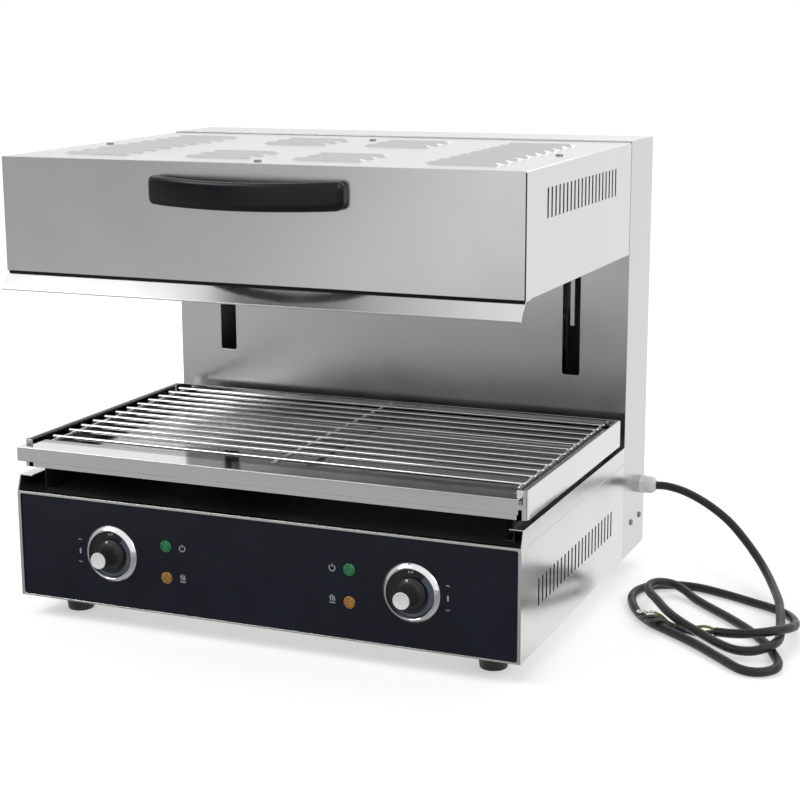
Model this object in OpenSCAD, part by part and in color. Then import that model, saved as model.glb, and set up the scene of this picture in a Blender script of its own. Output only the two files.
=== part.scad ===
// Cheese melter: an electric grill whose heated hood rides up and down
// on two arms, over a wire grate in a pull-out drip pan.
// Z is up, X runs to the right and the front faces -Y.
// The origin is the middle of the footprint, on the surface the feet stand on.
// Modules work in body coordinates: Y from the front plane of the control box,
// Z from its underside. place() moves them to the part's own frame.

/* [Overall] */
// Width of the body
body_w = 600; // [540:1:700]
// Depth of the control box and hood, in front of the tower
base_d = 380; // [340:1:440]
// Depth of the rear tower
tower_d = 95; // [94:1:130]
// Height of the tower above the underside of the body
tower_h = 503; // [490:1:600]
// Height of the rubber feet
foot_h = 25; // [15:1:40]
// Thickness of the stainless sheet
sheet_t = 1.2; // [0.8:0.1:1.6]

/* [Control box] */
// Height of the control box deck
deck_h = 120; // [110:1:140]
// Height of the side rails above the deck
rail_h = 20; // [12:1:30]
// Depth of the front frame round the control panel
frame_d = 7; // [5:0.5:12]
// Width of the bright border round the control panel
border_w = 3.5; // [2:0.5:8]
// Thickness of the control panel
fascia_t = 3; // [2:0.5:5]
// Distance of each knob from the middle
knob_x = 180; // [140:1:220]
// Height of the knob axes
knob_z = 61; // [50:1:70]
// Outer diameter of the bright ring round each knob
ring_d = 65; // [56:1:80]
// Diameter of the knob grip at its front
grip_d = 20; // [16:1:28]
// How far a knob stands out of the panel
knob_out = 26.5; // [18:0.5:32]
// Diameter of the control shaft
shaft_d = 6; // [5:0.5:8]
// Distance of the pilot lamps from the middle
lamp_x = 110; // [80:1:140]
// Half the height between the two lamps of a pair
lamp_half_gap = 18; // [12:1:28]
// Diameter of a pilot lamp lens
lamp_d = 13; // [9:0.5:16]
// Louvre slots in each side of the control box
base_louvres = 22; // [6:1:24]
// Diameter of a foot at its top
foot_d = 36; // [26:1:48]

/* [Grate and drip pan] */
// Gap between the side rails and the pan carrier
shadow_gap = 7; // [4:0.5:12]
// Height of the pan carrier's walls
carrier_h = 34; // [28:1:44]
// Height of the drip pan's front rail
pan_rail_h = 16; // [14:1:24]
// Depth of the flat shelf behind the front rail
pan_shelf_d = 42; // [25:1:50]
// Diameter of the grate wires
wire_d = 4; // [3:0.25:5]
// Spacing of the grate wires
wire_pitch = 25.4; // [20:0.1:30]

/* [Hood] */
// Height of the hood
hood_h = 125; // [115:1:150]
// How far the hood's top lies below the tower's top
hood_drop = 6; // [4:1:20]
// How much higher the hood top is at its back edge
hood_rise = 4.5; // [0:0.5:6]
// Travel of the hood, downwards from the pose shown
hood_travel = 150; // [100:1:150]
// How far the front lip flares forward
lip_out = 15; // [6:1:20]
// Height of the front lip below the hood
lip_h = 18; // [10:1:20]
// Louvre slots in each side of the hood
hood_louvres = 20; // [6:1:22]
// Length of the hood's handle along the front
handle_w = 226; // [160:1:320]
// Height of the handle's band
handle_h = 32; // [24:1:40]
// How far the handle stands out of the hood front
handle_out = 34.5; // [32:0.5:45]
// Thickness of the handle's band
handle_t = 13; // [9:0.5:16]
// Diameter of the heating tubes
heater_d = 8; // [6.5:0.5:9]

/* [Lift] */
// Distance of the lift arms from the middle
arm_x = 231; // [200:1:250]
// Thickness of a lift arm
arm_t = 5; // [4:0.5:8]
// Width of the slots that the arms run in
slot_w = 22; // [16:1:26]
// Diameter of the guide rods
rod_d = 16; // [12:1:18]
// Radius of the cable's path round a pulley
pulley_r = 22; // [20:0.5:22]
// Height of the counterweight
weight_h = 190; // [120:1:200]

/* [Cord] */
// Diameter of the mains cord
cord_d = 10; // [8:0.5:11]
// Diameter of the cable gland
gland_d = 23; // [20:0.5:26]
// Height of the gland's axis above the underside of the body
gland_z = 76; // [72:1:90]

/* [Hidden] */
$fn = 48;
eps = 0.01;
part_gap = 0.3;          // gap kept between pieces that move apart
run_gap = 0.05;          // radial running clearance of shafts and rods
half_w = body_w / 2;
inner_w = half_w - sheet_t;
tower_y = base_d;
back_y = base_d + tower_d;

// Footprint and origin
screw_head_h = 1.5;
hood_y = 2;                                     // hood front, behind the panel plane
y_front = hood_y - handle_out;
y_mid = (back_y + screw_head_h + y_front) / 2;

// Grate, pan and carrier levels
rail_top = deck_h + rail_h;
carrier_z = rail_top + shadow_gap;
carrier_top = carrier_z + carrier_h;
carrier_y = 17;
carrier_back = base_d - 22;
carrier_flange = 11.5;
plinth_x = half_w - 18;
plinth_y = 30;
pan_top = carrier_top - shadow_gap;
pan_bottom = pan_top - pan_rail_h;
runner_z = pan_bottom - part_gap;               // what the pan slides on
pan_x = half_w - carrier_flange - 2.5;
pan_y = -2;
pan_back = carrier_back - 8;
pan_ledge_z = pan_bottom + 11;
pan_ledge_w = 12;
grate_z = pan_ledge_z + part_gap + 1.5 * wire_d - 0.5;
grate_y = 54;
grate_gap = 33;                                 // first space, wider than the rest
grate_count = floor((pan_back - 9 - grate_y - grate_gap) / wire_pitch) + 1;
grate_x = pan_x;

// Hood levels
hood_top = tower_h - hood_drop;
hood_z = hood_top - hood_h;
hood_back = base_d - 2;
reflector_x = half_w - 18;
reflector_y = 20;
reflector_top = hood_z + 32;
reflector_back = hood_back - 18;
heater_z = reflector_top - 16;
heater_runs = 6;
heater_y = reflector_y + 32;
heater_pitch = (reflector_back - 32 - heater_y) / (heater_runs - 1);
insulation_h = 30;
arm_z = hood_top - 51;                          // underside of the arm inside the hood
arm_top = hood_top - 13;
arm_reach = 300;                                // front end of the arm inside the hood

// Lift
rod_x = arm_x - 26;
rod_y = tower_y + 40;
bracket_z = 50;
bracket_t = 3;
bracket_top_z = tower_h - 16;
block_z = hood_z - 72;
block_h = 160;
arm_foot_z = block_z - 17;
slot_z = arm_foot_z - 59;
slot_top = arm_top + 4;
pulley_x = 120;
pulley_y = tower_y + 34 + pulley_r;
pulley_z = bracket_top_z - 21;
pulley_w = 10;
cable_d = 3;
axle_d = 8;
bar_y = tower_y + 28;
bar_t = 12;
bar_z = block_z + 100;
bar_top = bar_z + 36;
weight_z = 70;
weight_x = 175;
weight_top = weight_z + weight_h + 12;          // top of its cable lugs
weight_t = 26;
weight_y = pulley_y + pulley_r - weight_t / 2;
side_screw_z = bracket_z - 12;
side_screw_y = [tower_y + 37, tower_y + 75];

// Louvres
louvre_pitch = 12.85;
louvre_w = 5;
louvre_h = 30.5;
louvre_mid = base_d / 2 + 2;
top_louvre_l = 82;
top_louvre_w = 11;
top_louvre_h = 2.6;
top_louvre_t = 0.8;                             // the sheet is drawn thinner where pressed up
top_louvre_pitch = 31;
top_louvre_y = 62;                              // first one, from the front of the hood
hood_tilt = atan(hood_rise / (hood_back - hood_y));

// Cord: the route's points in the part's own frame, for the default sizes
gland_y = back_y - 14;
gland_l = 20;
CORD_ROUTE = [
    [320, 239, 101], [334, 239, 101], [356, 237, 97], [384, 233, 86],
    [412, 226, 70], [435, 215, 52], [457, 197, 34], [474, 173, 21.5],
    [488, 140, 16], [500, 101, 16.5], [508, 67, 16], [515, 31, 14],
    [521, -2, 14.5], [523, -29, 16], [517, -50, 16], [503, -60, 13],
    [484, -58, 11], [463, -44, 10.5], [438, -21, 11], [410, 5, 12],
    [389, 28, 14], [370, 56, 16], [354, 82, 16.5], [349, 103, 16.5],
    [354.5, 120, 16], [370, 127.5, 13.5], [386, 121.5, 9.5], [401, 107.5, 6],
    [422, 86, 5.5], [449, 60, 5.5], [477, 30, 5.5], [493, 9, 5.5],
    [510, -16, 5.5], [522, -42, 5.5], [531, -65, 5.5], [530.5, -85, 5.5],
    [517, -99.5, 5.5], [497.5, -97.5, 5.5], [471, -73.5, 5.5], [437, -41, 5.5],
    [403, -14, 5.5], [377, 6, 5.5], [356, 31, 5.5], [341, 60, 5.5],
    [332, 90, 5.5], [334, 117, 5.5], [347, 137, 5.5], [370, 148, 5.5],
    [399, 148, 5.5], [434, 135, 5.5], [467, 119, 5.5], [494, 105, 5.5],
    [513, 87, 6.5], [526, 56, 11], [533, 20, 18.5], [531, -9, 25],
    [520, -29, 27.5], [502, -37, 25], [479, -32, 19.5], [455, -22, 15]
];
// Conductors: yellow-green earth, neutral and live
EARTH_ROUTE = [
    [458.3, -23.5, 17.7], [454.7, -21.9, 17.1], [446, -13, 16], [437, -1, 12],
    [428, 8, 7], [417, 13, 3], [404, 17, 2.4], [392, 23, 3],
    [383, 26, 8], [374, 23.5, 12.8]
];
NEUTRAL_ROUTE = [
    [459.5, -22.1, 14.6], [455.9, -20.4, 14], [448, -13, 11.5], [439, -5, 7],
    [430, 1, 3.3], [418, 6, 2.2], [406, 9, 2.2], [394, 13, 3],
    [386, 14, 8.5], [378, 8, 12.8]
];
LIVE_ROUTE = [
    [458, -25.3, 14.6], [454.4, -23.7, 14], [446, -17, 11], [437, -11, 6],
    [428, -5, 2.8], [417, 0, 2.2], [405, 3, 2.2], [397, 5, 7.5],
    [388, -1, 12.8]
];
wire_out_d = 3.4;        // insulated conductor
// The route moves with the gland, and its hanging part stretches to reach it
route_dx = half_w + gland_l - CORD_ROUTE[0][0];
route_dy = gland_y - y_mid - CORD_ROUTE[0][1];
lying_z = 30;
hang_scale = (gland_z + foot_h - lying_z) / (CORD_ROUTE[0][2] - lying_z);
function follow(p) = [p[0] + route_dx, p[1] + route_dy,
    p[2] < lying_z ? p[2] : lying_z + (p[2] - lying_z) * hang_scale];
function follow_all(route) = [for (p = route) follow(p)];

// ---------- helpers ----------

module place() {
    translate([0, -y_mid, foot_h]) children();
}

// A box from its low corner to its high corner
module box(low, high) {
    translate(low) cube(high - low);
}

// A rectangle with round corners, centred
module round_rect(w, h, r) {
    square([w - 2 * r, h], center = true);
    square([w, h - 2 * r], center = true);
    for (sx = [-1, 1], sy = [-1, 1])
        translate([sx * (w / 2 - r), sy * (h / 2 - r)]) circle(r);
}

// A round bar along X, Y or Z from a start point
module bar_x(start, d, l) {
    translate(start) rotate([0, 90, 0]) cylinder(d = d, h = l);
}
module bar_y(start, d, l) {
    translate(start) rotate([-90, 0, 0]) cylinder(d = d, h = l);
}
module bar_z(start, d, l) {
    translate(start) cylinder(d = d, h = l);
}

// A profile in Y and Z, drawn as [y, z] points, run along X
module run_x(x0, x1, points) {
    translate([x0, 0, 0]) rotate([90, 0, 90])
        linear_extrude(x1 - x0) polygon(points);
}

// Turns a piece made about +Z to point out of the front
module face_front(x, y, z) {
    translate([x, y, z]) rotate([90, 0, 0]) children();
}

// Upright slots through a side wall, centred on the louvre field
module side_louvres(x, count, z) {
    first = louvre_mid - (count - 1) / 2 * louvre_pitch;
    for (i = [0 : count - 1])
        translate([x, first + i * louvre_pitch, z])
            cube([4 * sheet_t, louvre_w, louvre_h], center = true);
}

module mirrored_pair() {
    children();
    mirror([1, 0, 0]) children();
}

// ---------- swept tubes ----------

function unit(v) = v / norm(v);
function tangent(p, i) = unit(p[min(i + 1, len(p) - 1)] - p[max(i - 1, 0)]);
function ring(c, t, r, n) =
    let (side = unit(cross(t, [0, 0, 1])), up = cross(side, t))
    [for (k = [0 : n - 1]) c + r * (cos(360 * k / n) * side + sin(360 * k / n) * up)];

module tube(route, d, n) {
    rings = len(route);
    points = [for (i = [0 : rings - 1]) each ring(route[i], tangent(route, i), d / 2, n)];
    sides = [for (i = [0 : rings - 2], k = [0 : n - 1])
        let (a = i * n + k, b = i * n + (k + 1) % n) each [[a, b, b + n], [a, b + n, a + n]]];
    caps = [for (k = [1 : n - 2]) each [[0, k + 1, k],
        [(rings - 1) * n, (rings - 1) * n + k, (rings - 1) * n + k + 1]]];
    polyhedron(points, concat(sides, caps));
}

// ---------- control box ----------

module side_panel() {
    rail_flange = 16;
    groove = 0.8;
    difference() {
        union() {
            box([inner_w, frame_d, 0], [half_w, base_d, rail_top]);
            box([half_w - rail_flange, frame_d, rail_top - sheet_t], [half_w, base_d, rail_top]);
            run_x(inner_w, half_w, [[0, deck_h], [frame_d + eps, deck_h],
                [frame_d + eps, rail_top], [frame_d, rail_top]]);
        }
        side_louvres(half_w, base_louvres, deck_h / 2);
        box([half_w - sheet_t / 3, frame_d - 1, deck_h - groove / 2],
            [half_w + 1, base_d + 1, deck_h + groove / 2]);
    }
}

module side_panel_left() place() color("gainsboro") mirror([1, 0, 0]) side_panel();
module side_panel_right() place() color("gainsboro") side_panel();

module base_deck() place() color("dimgray") {
    box([-inner_w, frame_d, deck_h - sheet_t], [inner_w, base_d, deck_h]);
}

module base_floor() place() color("silver") difference() {
    box([-inner_w, frame_d, 0], [inner_w, back_y - sheet_t, sheet_t]);
    for (x = [-60 : 20 : 60])
        box([x - 3, base_d / 2 - 40, -1], [x + 3, base_d / 2 + 40, sheet_t + 1]);
}

frame_top = deck_h + 2.5;                       // a low lip above the deck
panel_low = border_w - 1.7;
panel_top = frame_top - border_w + 0.8;

// The control panel's outline, less a margin all round
module panel_outline(margin, r) {
    round_rect(body_w - 2 * border_w - 2 * margin, panel_top - panel_low - 2 * margin, r);
}

module front_frame() place() color("gainsboro") difference() {
    ledge = 9;
    mid_z = (panel_low + panel_top) / 2;
    union() {
        box([-half_w, 0, 0], [half_w, frame_d, deck_h]);
        box([-inner_w, 0, deck_h - 1], [inner_w, frame_d, frame_top]);
    }
    face_front(0, frame_d - 2, mid_z) linear_extrude(frame_d) panel_outline(0, 2.5);
    face_front(0, frame_d + 1, mid_z) linear_extrude(frame_d) panel_outline(ledge, 3);
}

fascia_y = frame_d - 2;                         // back of the control panel
fascia_front = fascia_y - fascia_t;
bush_d = shaft_d + 5;

module at_knobs() {
    for (x = [-knob_x, knob_x]) translate([x, 0, knob_z]) children();
}

module at_lamps() {
    for (x = [-lamp_x, lamp_x], z = [-lamp_half_gap, lamp_half_gap])
        translate([x, 0, deck_h / 2 + z]) children();
}

module fascia_panel() place() color("#14171f") difference() {
    face_front(0, fascia_y, (panel_low + panel_top) / 2) linear_extrude(fascia_t)
        panel_outline(0.2, 2.3);
    at_knobs() bar_y([0, -10, 0], bush_d + 0.4, 20);
    at_lamps() bar_y([0, -10, 0], lamp_d - 2, 20);
}

// Bright ring round a knob, with a rounded front
module dial_ring(x) {
    rim = 5;
    rise = 4;
    face_front(x, fascia_front, knob_z) rotate_extrude($fn = 96) {
        translate([ring_d / 2 - rim, 0]) square([rim, rise - rim / 2]);
        intersection() {
            translate([ring_d / 2 - rim / 2, rise - rim / 2]) circle(rim / 2);
            translate([ring_d / 2 - rim, 0]) square([rim, rise]);
        }
    }
}

module dial_ring_left() place() color("whitesmoke") dial_ring(-knob_x);
module dial_ring_right() place() color("whitesmoke") dial_ring(knob_x);

// Knob: a low skirt with a pointer dot, a tapering grip and a bright cap
module knob(x) {
    skirt_d = grip_d + 14;
    skirt_h = 4;
    full = knob_out + fascia_front - part_gap;
    face_front(x, fascia_front - part_gap, knob_z) difference() {
        rotate_extrude($fn = 72) polygon([
            [0, 0], [skirt_d / 2, 0], [skirt_d / 2, skirt_h - 2],
            [skirt_d / 2 - 2, skirt_h], [grip_d / 2 + 2.5, skirt_h + 1],
            [grip_d / 2, skirt_h + 5], [grip_d / 2, full - 1], [grip_d / 2 - 1, full], [0, full]
        ]);
        translate([0, 0, -1]) cylinder(d = shaft_d, h = full - 3 + 1);
        for (a = [0 : 30 : 330]) rotate(a)
            translate([grip_d / 2 + 0.6, 0, skirt_h + 6]) cylinder(d = 2, h = full - skirt_h - 9, $fn = 16);
    }
}

module knob_left() place() color("#202226") knob(-knob_x);
module knob_right() place() color("#202226") knob(knob_x);

regulator_w = 46;
regulator_l = 34;

module control_shaft(x) {
    bar_y([x, fascia_front - part_gap - (knob_out + fascia_front - part_gap - 3), knob_z], shaft_d,
        knob_out + fascia_front - part_gap - 3 + part_gap + fascia_t + regulator_l - 4);
}

module control_shaft_left() place() color("silver") control_shaft(-knob_x);
module control_shaft_right() place() color("silver") control_shaft(knob_x);

// Energy regulator: a moulded case with a threaded bush and tab terminals
module regulator(x) {
    difference() {
        union() {
            box([x - regulator_w / 2, fascia_y, knob_z - regulator_w / 2],
                [x + regulator_w / 2, fascia_y + regulator_l, knob_z + regulator_w / 2]);
            bar_y([x, fascia_front, knob_z], bush_d, fascia_t + 1);
            for (sx = [-14, 0, 14], sz = [-12, 12])
                box([x + sx - 3, fascia_y + regulator_l - 1, knob_z + sz - 0.4],
                    [x + sx + 3, fascia_y + regulator_l + 9, knob_z + sz + 0.4]);
        }
        bar_y([x, fascia_front - 1, knob_z], shaft_d + 2 * run_gap, fascia_t + regulator_l - 2);
    }
}

module regulator_left() place() color("tan") regulator(-knob_x);
module regulator_right() place() color("tan") regulator(knob_x);

// Pilot lamp: domed lens on the panel and a body behind it
module pilot(x, z) {
    dome = 2.2;
    face_front(x, fascia_front, z) rotate_extrude($fn = 48) polygon([
        [0, -20], [lamp_d / 2 - 1.4, -20], [lamp_d / 2 - 1.2, 0], [lamp_d / 2, 0],
        [lamp_d / 2, 0.8], [lamp_d / 2 - 1.5, dome - 0.3], [lamp_d / 4, dome], [0, dome]
    ]);
}

lamp_z_high = deck_h / 2 + lamp_half_gap;
lamp_z_low = deck_h / 2 - lamp_half_gap;
module pilot_green_left() place() color("#0f7a40") pilot(-lamp_x, lamp_z_high);
module pilot_amber_left() place() color("#b87828") pilot(-lamp_x, lamp_z_low);
module pilot_green_right() place() color("#0f7a40") pilot(lamp_x, lamp_z_high);
module pilot_amber_right() place() color("#b87828") pilot(lamp_x, lamp_z_low);

// Rubber feet: tapered, hollow underneath for the fixing screw
module feet() place() color("#1c1c1c") {
    for (x = [-half_w + 46, half_w - 46], y = [49, back_y - 50])
        translate([x, y, 0]) rotate_extrude() polygon([
            [4, 0], [foot_d / 2, 0], [foot_d / 2, -3], [foot_d / 2 - 3, -foot_h + 1.5],
            [foot_d / 2 - 4.5, -foot_h], [9, -foot_h], [9, -foot_h + 8], [4, -foot_h + 8]
        ]);
}

// ---------- pan carrier, pan and grate ----------

// Upright plates that stand the carrier on the deck, open to the front
module carrier_plinth() place() color("#26272a") {
    plinth_back = carrier_back - 8;
    mirrored_pair() {
        box([plinth_x - sheet_t, plinth_y, deck_h], [plinth_x, plinth_back, carrier_z]);
        box([plinth_x - 12, plinth_y, deck_h], [plinth_x, plinth_back, deck_h + sheet_t]);
    }
    box([-plinth_x, plinth_back - sheet_t, deck_h], [plinth_x, plinth_back, carrier_z]);
}

// Frame of bent sheet: walls with rolled rims, a ledge for the pan, open front
module pan_carrier() place() color("gainsboro") {
    ledge_w = 20;
    difference() {
        union() {
            mirrored_pair() {
                box([inner_w, carrier_y, carrier_z], [half_w, carrier_back, carrier_top]);
                box([half_w - carrier_flange + 0.5, carrier_y, carrier_top - sheet_t],
                    [half_w, carrier_back, carrier_top]);
                box([half_w - ledge_w, carrier_y, carrier_z],
                    [half_w, carrier_back, carrier_z + sheet_t]);
                box([half_w - ledge_w, carrier_y, runner_z - sheet_t],
                    [half_w, carrier_back, runner_z]);
            }
            box([-half_w, carrier_y, carrier_z], [half_w, carrier_y + sheet_t, carrier_top]);
            box([-half_w, carrier_back - sheet_t, carrier_z], [half_w, carrier_back, carrier_top]);
            box([-half_w, carrier_back - 6, carrier_top - sheet_t], [half_w, carrier_back, carrier_top]);
        }
        box([-half_w + carrier_flange, carrier_y - 1, runner_z],
            [half_w - carrier_flange, carrier_y + sheet_t + 1, carrier_top + 1]);
    }
}

// Shallow pan whose front is a hollow rail with a flat shelf
module drip_pan() place() color("silver") {
    rail_x = half_w - 4;
    shelf_back = pan_y + pan_shelf_d;
    box([-rail_x, pan_y, pan_bottom], [rail_x, pan_y + sheet_t, pan_top]);
    box([-rail_x, pan_y, pan_top - sheet_t], [rail_x, carrier_y - part_gap, pan_top]);
    box([-pan_x, pan_y, pan_top - sheet_t], [pan_x, shelf_back, pan_top]);
    box([-pan_x, shelf_back - sheet_t, pan_bottom], [pan_x, shelf_back, pan_top]);
    box([-pan_x, shelf_back - sheet_t, pan_bottom], [pan_x, pan_back, pan_bottom + sheet_t]);
    box([-pan_x, pan_back - sheet_t, pan_bottom], [pan_x, pan_back, pan_ledge_z]);
    mirrored_pair() {
        box([pan_x - sheet_t, shelf_back - sheet_t, pan_bottom], [pan_x, pan_back, pan_ledge_z]);
        box([pan_x - pan_ledge_w, shelf_back - sheet_t, pan_ledge_z - sheet_t],
            [pan_x, pan_back, pan_ledge_z]);
    }
}

// Welded wire grate: cross wires lying on three long wires
module grate() place() color("lightgray") {
    long_front = grate_y - 10;
    long_back = grate_y + grate_gap + (grate_count - 1) * wire_pitch + 6;
    bar_x([-grate_x, grate_y, grate_z], wire_d, 2 * grate_x);
    for (i = [0 : grate_count - 1])
        bar_x([-grate_x, grate_y + grate_gap + i * wire_pitch, grate_z], wire_d, 2 * grate_x);
    for (x = [-grate_x + 6, 0, grate_x - 6])
        bar_y([x, long_front, grate_z - wire_d + 0.5], wire_d, long_back - long_front);
}

// ---------- tower ----------

// Front with the two arm slots, bent round into both sides
module tower_shell() place() color("gainsboro") difference() {
    union() {
        box([-half_w, tower_y, sheet_t], [half_w, tower_y + sheet_t, tower_h]);
        mirrored_pair() box([inner_w, tower_y, 0], [half_w, back_y, tower_h]);
    }
    for (x = [-arm_x, arm_x]) {
        translate([x, tower_y, (slot_z + slot_top) / 2]) rotate([90, 0, 0])
            linear_extrude(20, center = true) round_rect(slot_w, slot_top - slot_z, 3);
    }
    box([-80, tower_y - 5, 25], [80, tower_y + 5, 95]);
    for (y = side_screw_y) bar_x([-half_w - 5, y, side_screw_z], 4, body_w + 10);
    bar_x([half_w - 5, gland_y, gland_z], gland_d - 3, 10);
}

module tower_top() place() color("gainsboro") {
    box([-inner_w, tower_y + sheet_t, tower_h - sheet_t], [inner_w, back_y, tower_h]);
    box([-inner_w, back_y - 2 * sheet_t, tower_h - 14],
        [inner_w, back_y - sheet_t, tower_h - sheet_t]);
}

// Flat back with two fields of vent slots
module rear_cover() place() color("lightgray") difference() {
    box([-inner_w, back_y - sheet_t, sheet_t], [inner_w, back_y, tower_h - sheet_t]);
    for (x = [-170 : 20 : 170], z = [150, tower_h - 110])
        translate([x, back_y, z]) rotate([90, 0, 0])
            linear_extrude(10, center = true) round_rect(5, 44, 2.4);
}

module screw_head(d) {
    difference() {
        cylinder(d = d, h = screw_head_h);
        translate([0, 0, screw_head_h / 2]) linear_extrude(screw_head_h) {
            square([d * 0.6, 0.8], center = true);
            square([0.8, d * 0.6], center = true);
        }
    }
}

module tower_screws() place() color("gray") {
    for (s = [-1, 1], y = side_screw_y)
        translate([s * half_w, y, side_screw_z]) rotate([0, s * 90, 0]) {
            screw_head(7);
            translate([0, 0, -6]) cylinder(d = 4, h = 6);
        }
    for (x = [-inner_w + 14, 0, inner_w - 14], z = [16, tower_h - 8])
        translate([x, back_y, z]) rotate([-90, 0, 0]) screw_head(7);
}

// ---------- lift ----------

module bracket_bottom() place() color("silver") difference() {
    flange_h = 22;
    union() {
        box([-inner_w, tower_y + 18, bracket_z], [inner_w, back_y - 5, bracket_z + bracket_t]);
        mirrored_pair() box([inner_w - bracket_t, tower_y + 18, bracket_z - flange_h],
            [inner_w, back_y - 5, bracket_z + eps]);
    }
    for (y = side_screw_y) bar_x([-half_w, y, side_screw_z], 4, body_w);
}

module bracket_top() place() color("silver") difference() {
    ear_x = pulley_w / 2 + 3;
    ear_t = 3;
    union() {
        box([-inner_w, tower_y + 18, bracket_top_z], [inner_w, back_y - 4, bracket_top_z + bracket_t]);
        mirrored_pair() box([inner_w - bracket_t, tower_y + 18, bracket_top_z],
            [inner_w, back_y - 4, tower_h - sheet_t]);
        for (x = [-pulley_x, pulley_x], s = [-1, 1])
            translate([x + s * (ear_x + ear_t / 2), pulley_y, (pulley_z + bracket_top_z) / 2 - 4])
                cube([ear_t, 18, bracket_top_z - pulley_z + 8], center = true);
    }
    for (x = [-pulley_x, pulley_x]) {
        box([x - ear_x, pulley_y - pulley_r - 5, bracket_top_z - 1],
            [x + ear_x, pulley_y + pulley_r + 5, bracket_top_z + bracket_t + 1]);
        bar_x([x - 20, pulley_y, pulley_z], axle_d, 40);
    }
}

module guide_rod(x) {
    bar_z([x, rod_y, bracket_z + bracket_t], rod_d, bracket_top_z - bracket_z - bracket_t);
}

module guide_rod_left() place() color("whitesmoke") guide_rod(-rod_x);
module guide_rod_right() place() color("whitesmoke") guide_rod(rod_x);

// Arm cut from plate: it reaches through the slot into the hood
module lift_arm(x) {
    inner_y = tower_y + 4;
    run_x(x - arm_t / 2, x + arm_t / 2, [
        [arm_reach, arm_z], [hood_back, arm_z], [hood_back, arm_z - 60], [inner_y, arm_z - 60],
        [inner_y, arm_foot_z], [tower_y + 48, arm_foot_z], [tower_y + 48, arm_top - 12],
        [tower_y + 36, arm_top], [arm_reach, arm_top]
    ]);
}

module lift_arm_left() place() color("silver") lift_arm(-arm_x);
module lift_arm_right() place() color("silver") lift_arm(arm_x);

// Bearing block: two bored lands on the rod, joined by a web on the arm
module bearing_block() {
    land = 42;
    outer_x = arm_x - arm_t / 2;
    difference() {
        box([rod_x - 15, rod_y - 18, block_z], [outer_x, rod_y + 16, block_z + block_h]);
        box([rod_x - 16, rod_y - 19, block_z + land], [outer_x - 7, rod_y + 17, block_z + block_h - land]);
        bar_z([rod_x, rod_y, block_z - 1], rod_d + 2 * run_gap, block_h + 2);
    }
}

module bearing_block_left() place() color("dimgray") mirror([1, 0, 0]) bearing_block();
module bearing_block_right() place() color("dimgray") bearing_block();

module carriage_bar() place() color("gray") {
    box([-rod_x + 15, bar_y, bar_z], [rod_x - 15, bar_y + bar_t, bar_top]);
}

module counterweight() place() color("#4a4c50") {
    box([-weight_x, weight_y, weight_z], [weight_x, weight_y + weight_t, weight_z + weight_h]);
    for (x = [-pulley_x, pulley_x])
        bar_z([x, pulley_y + pulley_r, weight_z + weight_h - eps], axle_d, 12 + eps);
}

// Grooved pulley with a hub that keeps it between the ears
module pulley(x) {
    rim_r = pulley_r + 2;
    groove = cable_d / 2 + part_gap;
    translate([x, pulley_y, pulley_z]) rotate([0, 90, 0]) difference() {
        union() {
            cylinder(r = rim_r, h = pulley_w, center = true);
            cylinder(d = axle_d + 8, h = pulley_w + 5, center = true);
        }
        rotate_extrude($fn = 72) translate([pulley_r, 0]) {
            circle(groove);
            translate([0, -groove]) square([8, 2 * groove]);
        }
        cylinder(d = axle_d + 2 * run_gap, h = 3 * pulley_w, center = true);
    }
}

module pulley_left() place() color("silver") pulley(-pulley_x);
module pulley_right() place() color("silver") pulley(pulley_x);

module pulley_axles() place() color("gray") {
    for (x = [-pulley_x, pulley_x]) bar_x([x - 13, pulley_y, pulley_z], axle_d, 26);
}

module cables_hood_side() place() color("darkgray") {
    for (x = [-pulley_x, pulley_x])
        bar_z([x, pulley_y - pulley_r, bar_top], cable_d, pulley_z - bar_top);
}

module cables_weight_side() place() color("darkgray") {
    for (x = [-pulley_x, pulley_x])
        bar_z([x, pulley_y + pulley_r, weight_top], cable_d, pulley_z - weight_top);
}

module cables_over_pulleys() place() color("darkgray") {
    for (x = [-pulley_x, pulley_x])
        translate([x, pulley_y, pulley_z]) rotate([90, 0, 90])
            rotate_extrude(angle = 180) translate([pulley_r, 0]) circle(d = cable_d);
}

// ---------- hood ----------

// Height of the hood top at a distance from the front
function top_at(y) = hood_top + hood_rise * (y - hood_y) / (hood_back - hood_y);
function under_top(y) = top_at(y) - sheet_t;

// Places pieces on the sloping top, measured from its front edge
module on_hood_top() {
    translate([0, hood_y, hood_top]) rotate([hood_tilt, 0, 0]) children();
}

// A louvre's shape: a wedge across, cut by sloping ends
module louvre_shape(low, thin, wedge) {
    half = top_louvre_l / 2 - thin;
    end = 6;
    intersection() {
        run_x(-half - 1, half + 1, wedge);
        translate([0, 2 * top_louvre_w, 0]) rotate([90, 0, 0]) linear_extrude(4 * top_louvre_w)
            polygon([[-half, low], [half, low], [half, 0],
                [half - end, top_louvre_h], [end - half, top_louvre_h], [-half, 0]]);
    }
}

function louvre_z(y) = top_louvre_h * (0.5 - y / top_louvre_w);

module louvre_outside() {
    back = top_louvre_w / 2;
    louvre_shape(-sheet_t / 2, 0, [[-back, -sheet_t / 2], [back, -sheet_t / 2],
        [back, 0], [-back, top_louvre_h]]);
}

// The hollow under a louvre, with its mouth at the front and the slot below it
module louvre_inside() {
    back = top_louvre_w / 2;
    edge = back - 3;
    louvre_shape(-3 * sheet_t, 1, [[-back, -3 * sheet_t], [edge, -3 * sheet_t],
        [edge, louvre_z(edge) - top_louvre_t / 2], [-back - 1, louvre_z(-back - 1) - top_louvre_t],
        [-back - 1, 0], [-back, 0]]);
}

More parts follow.
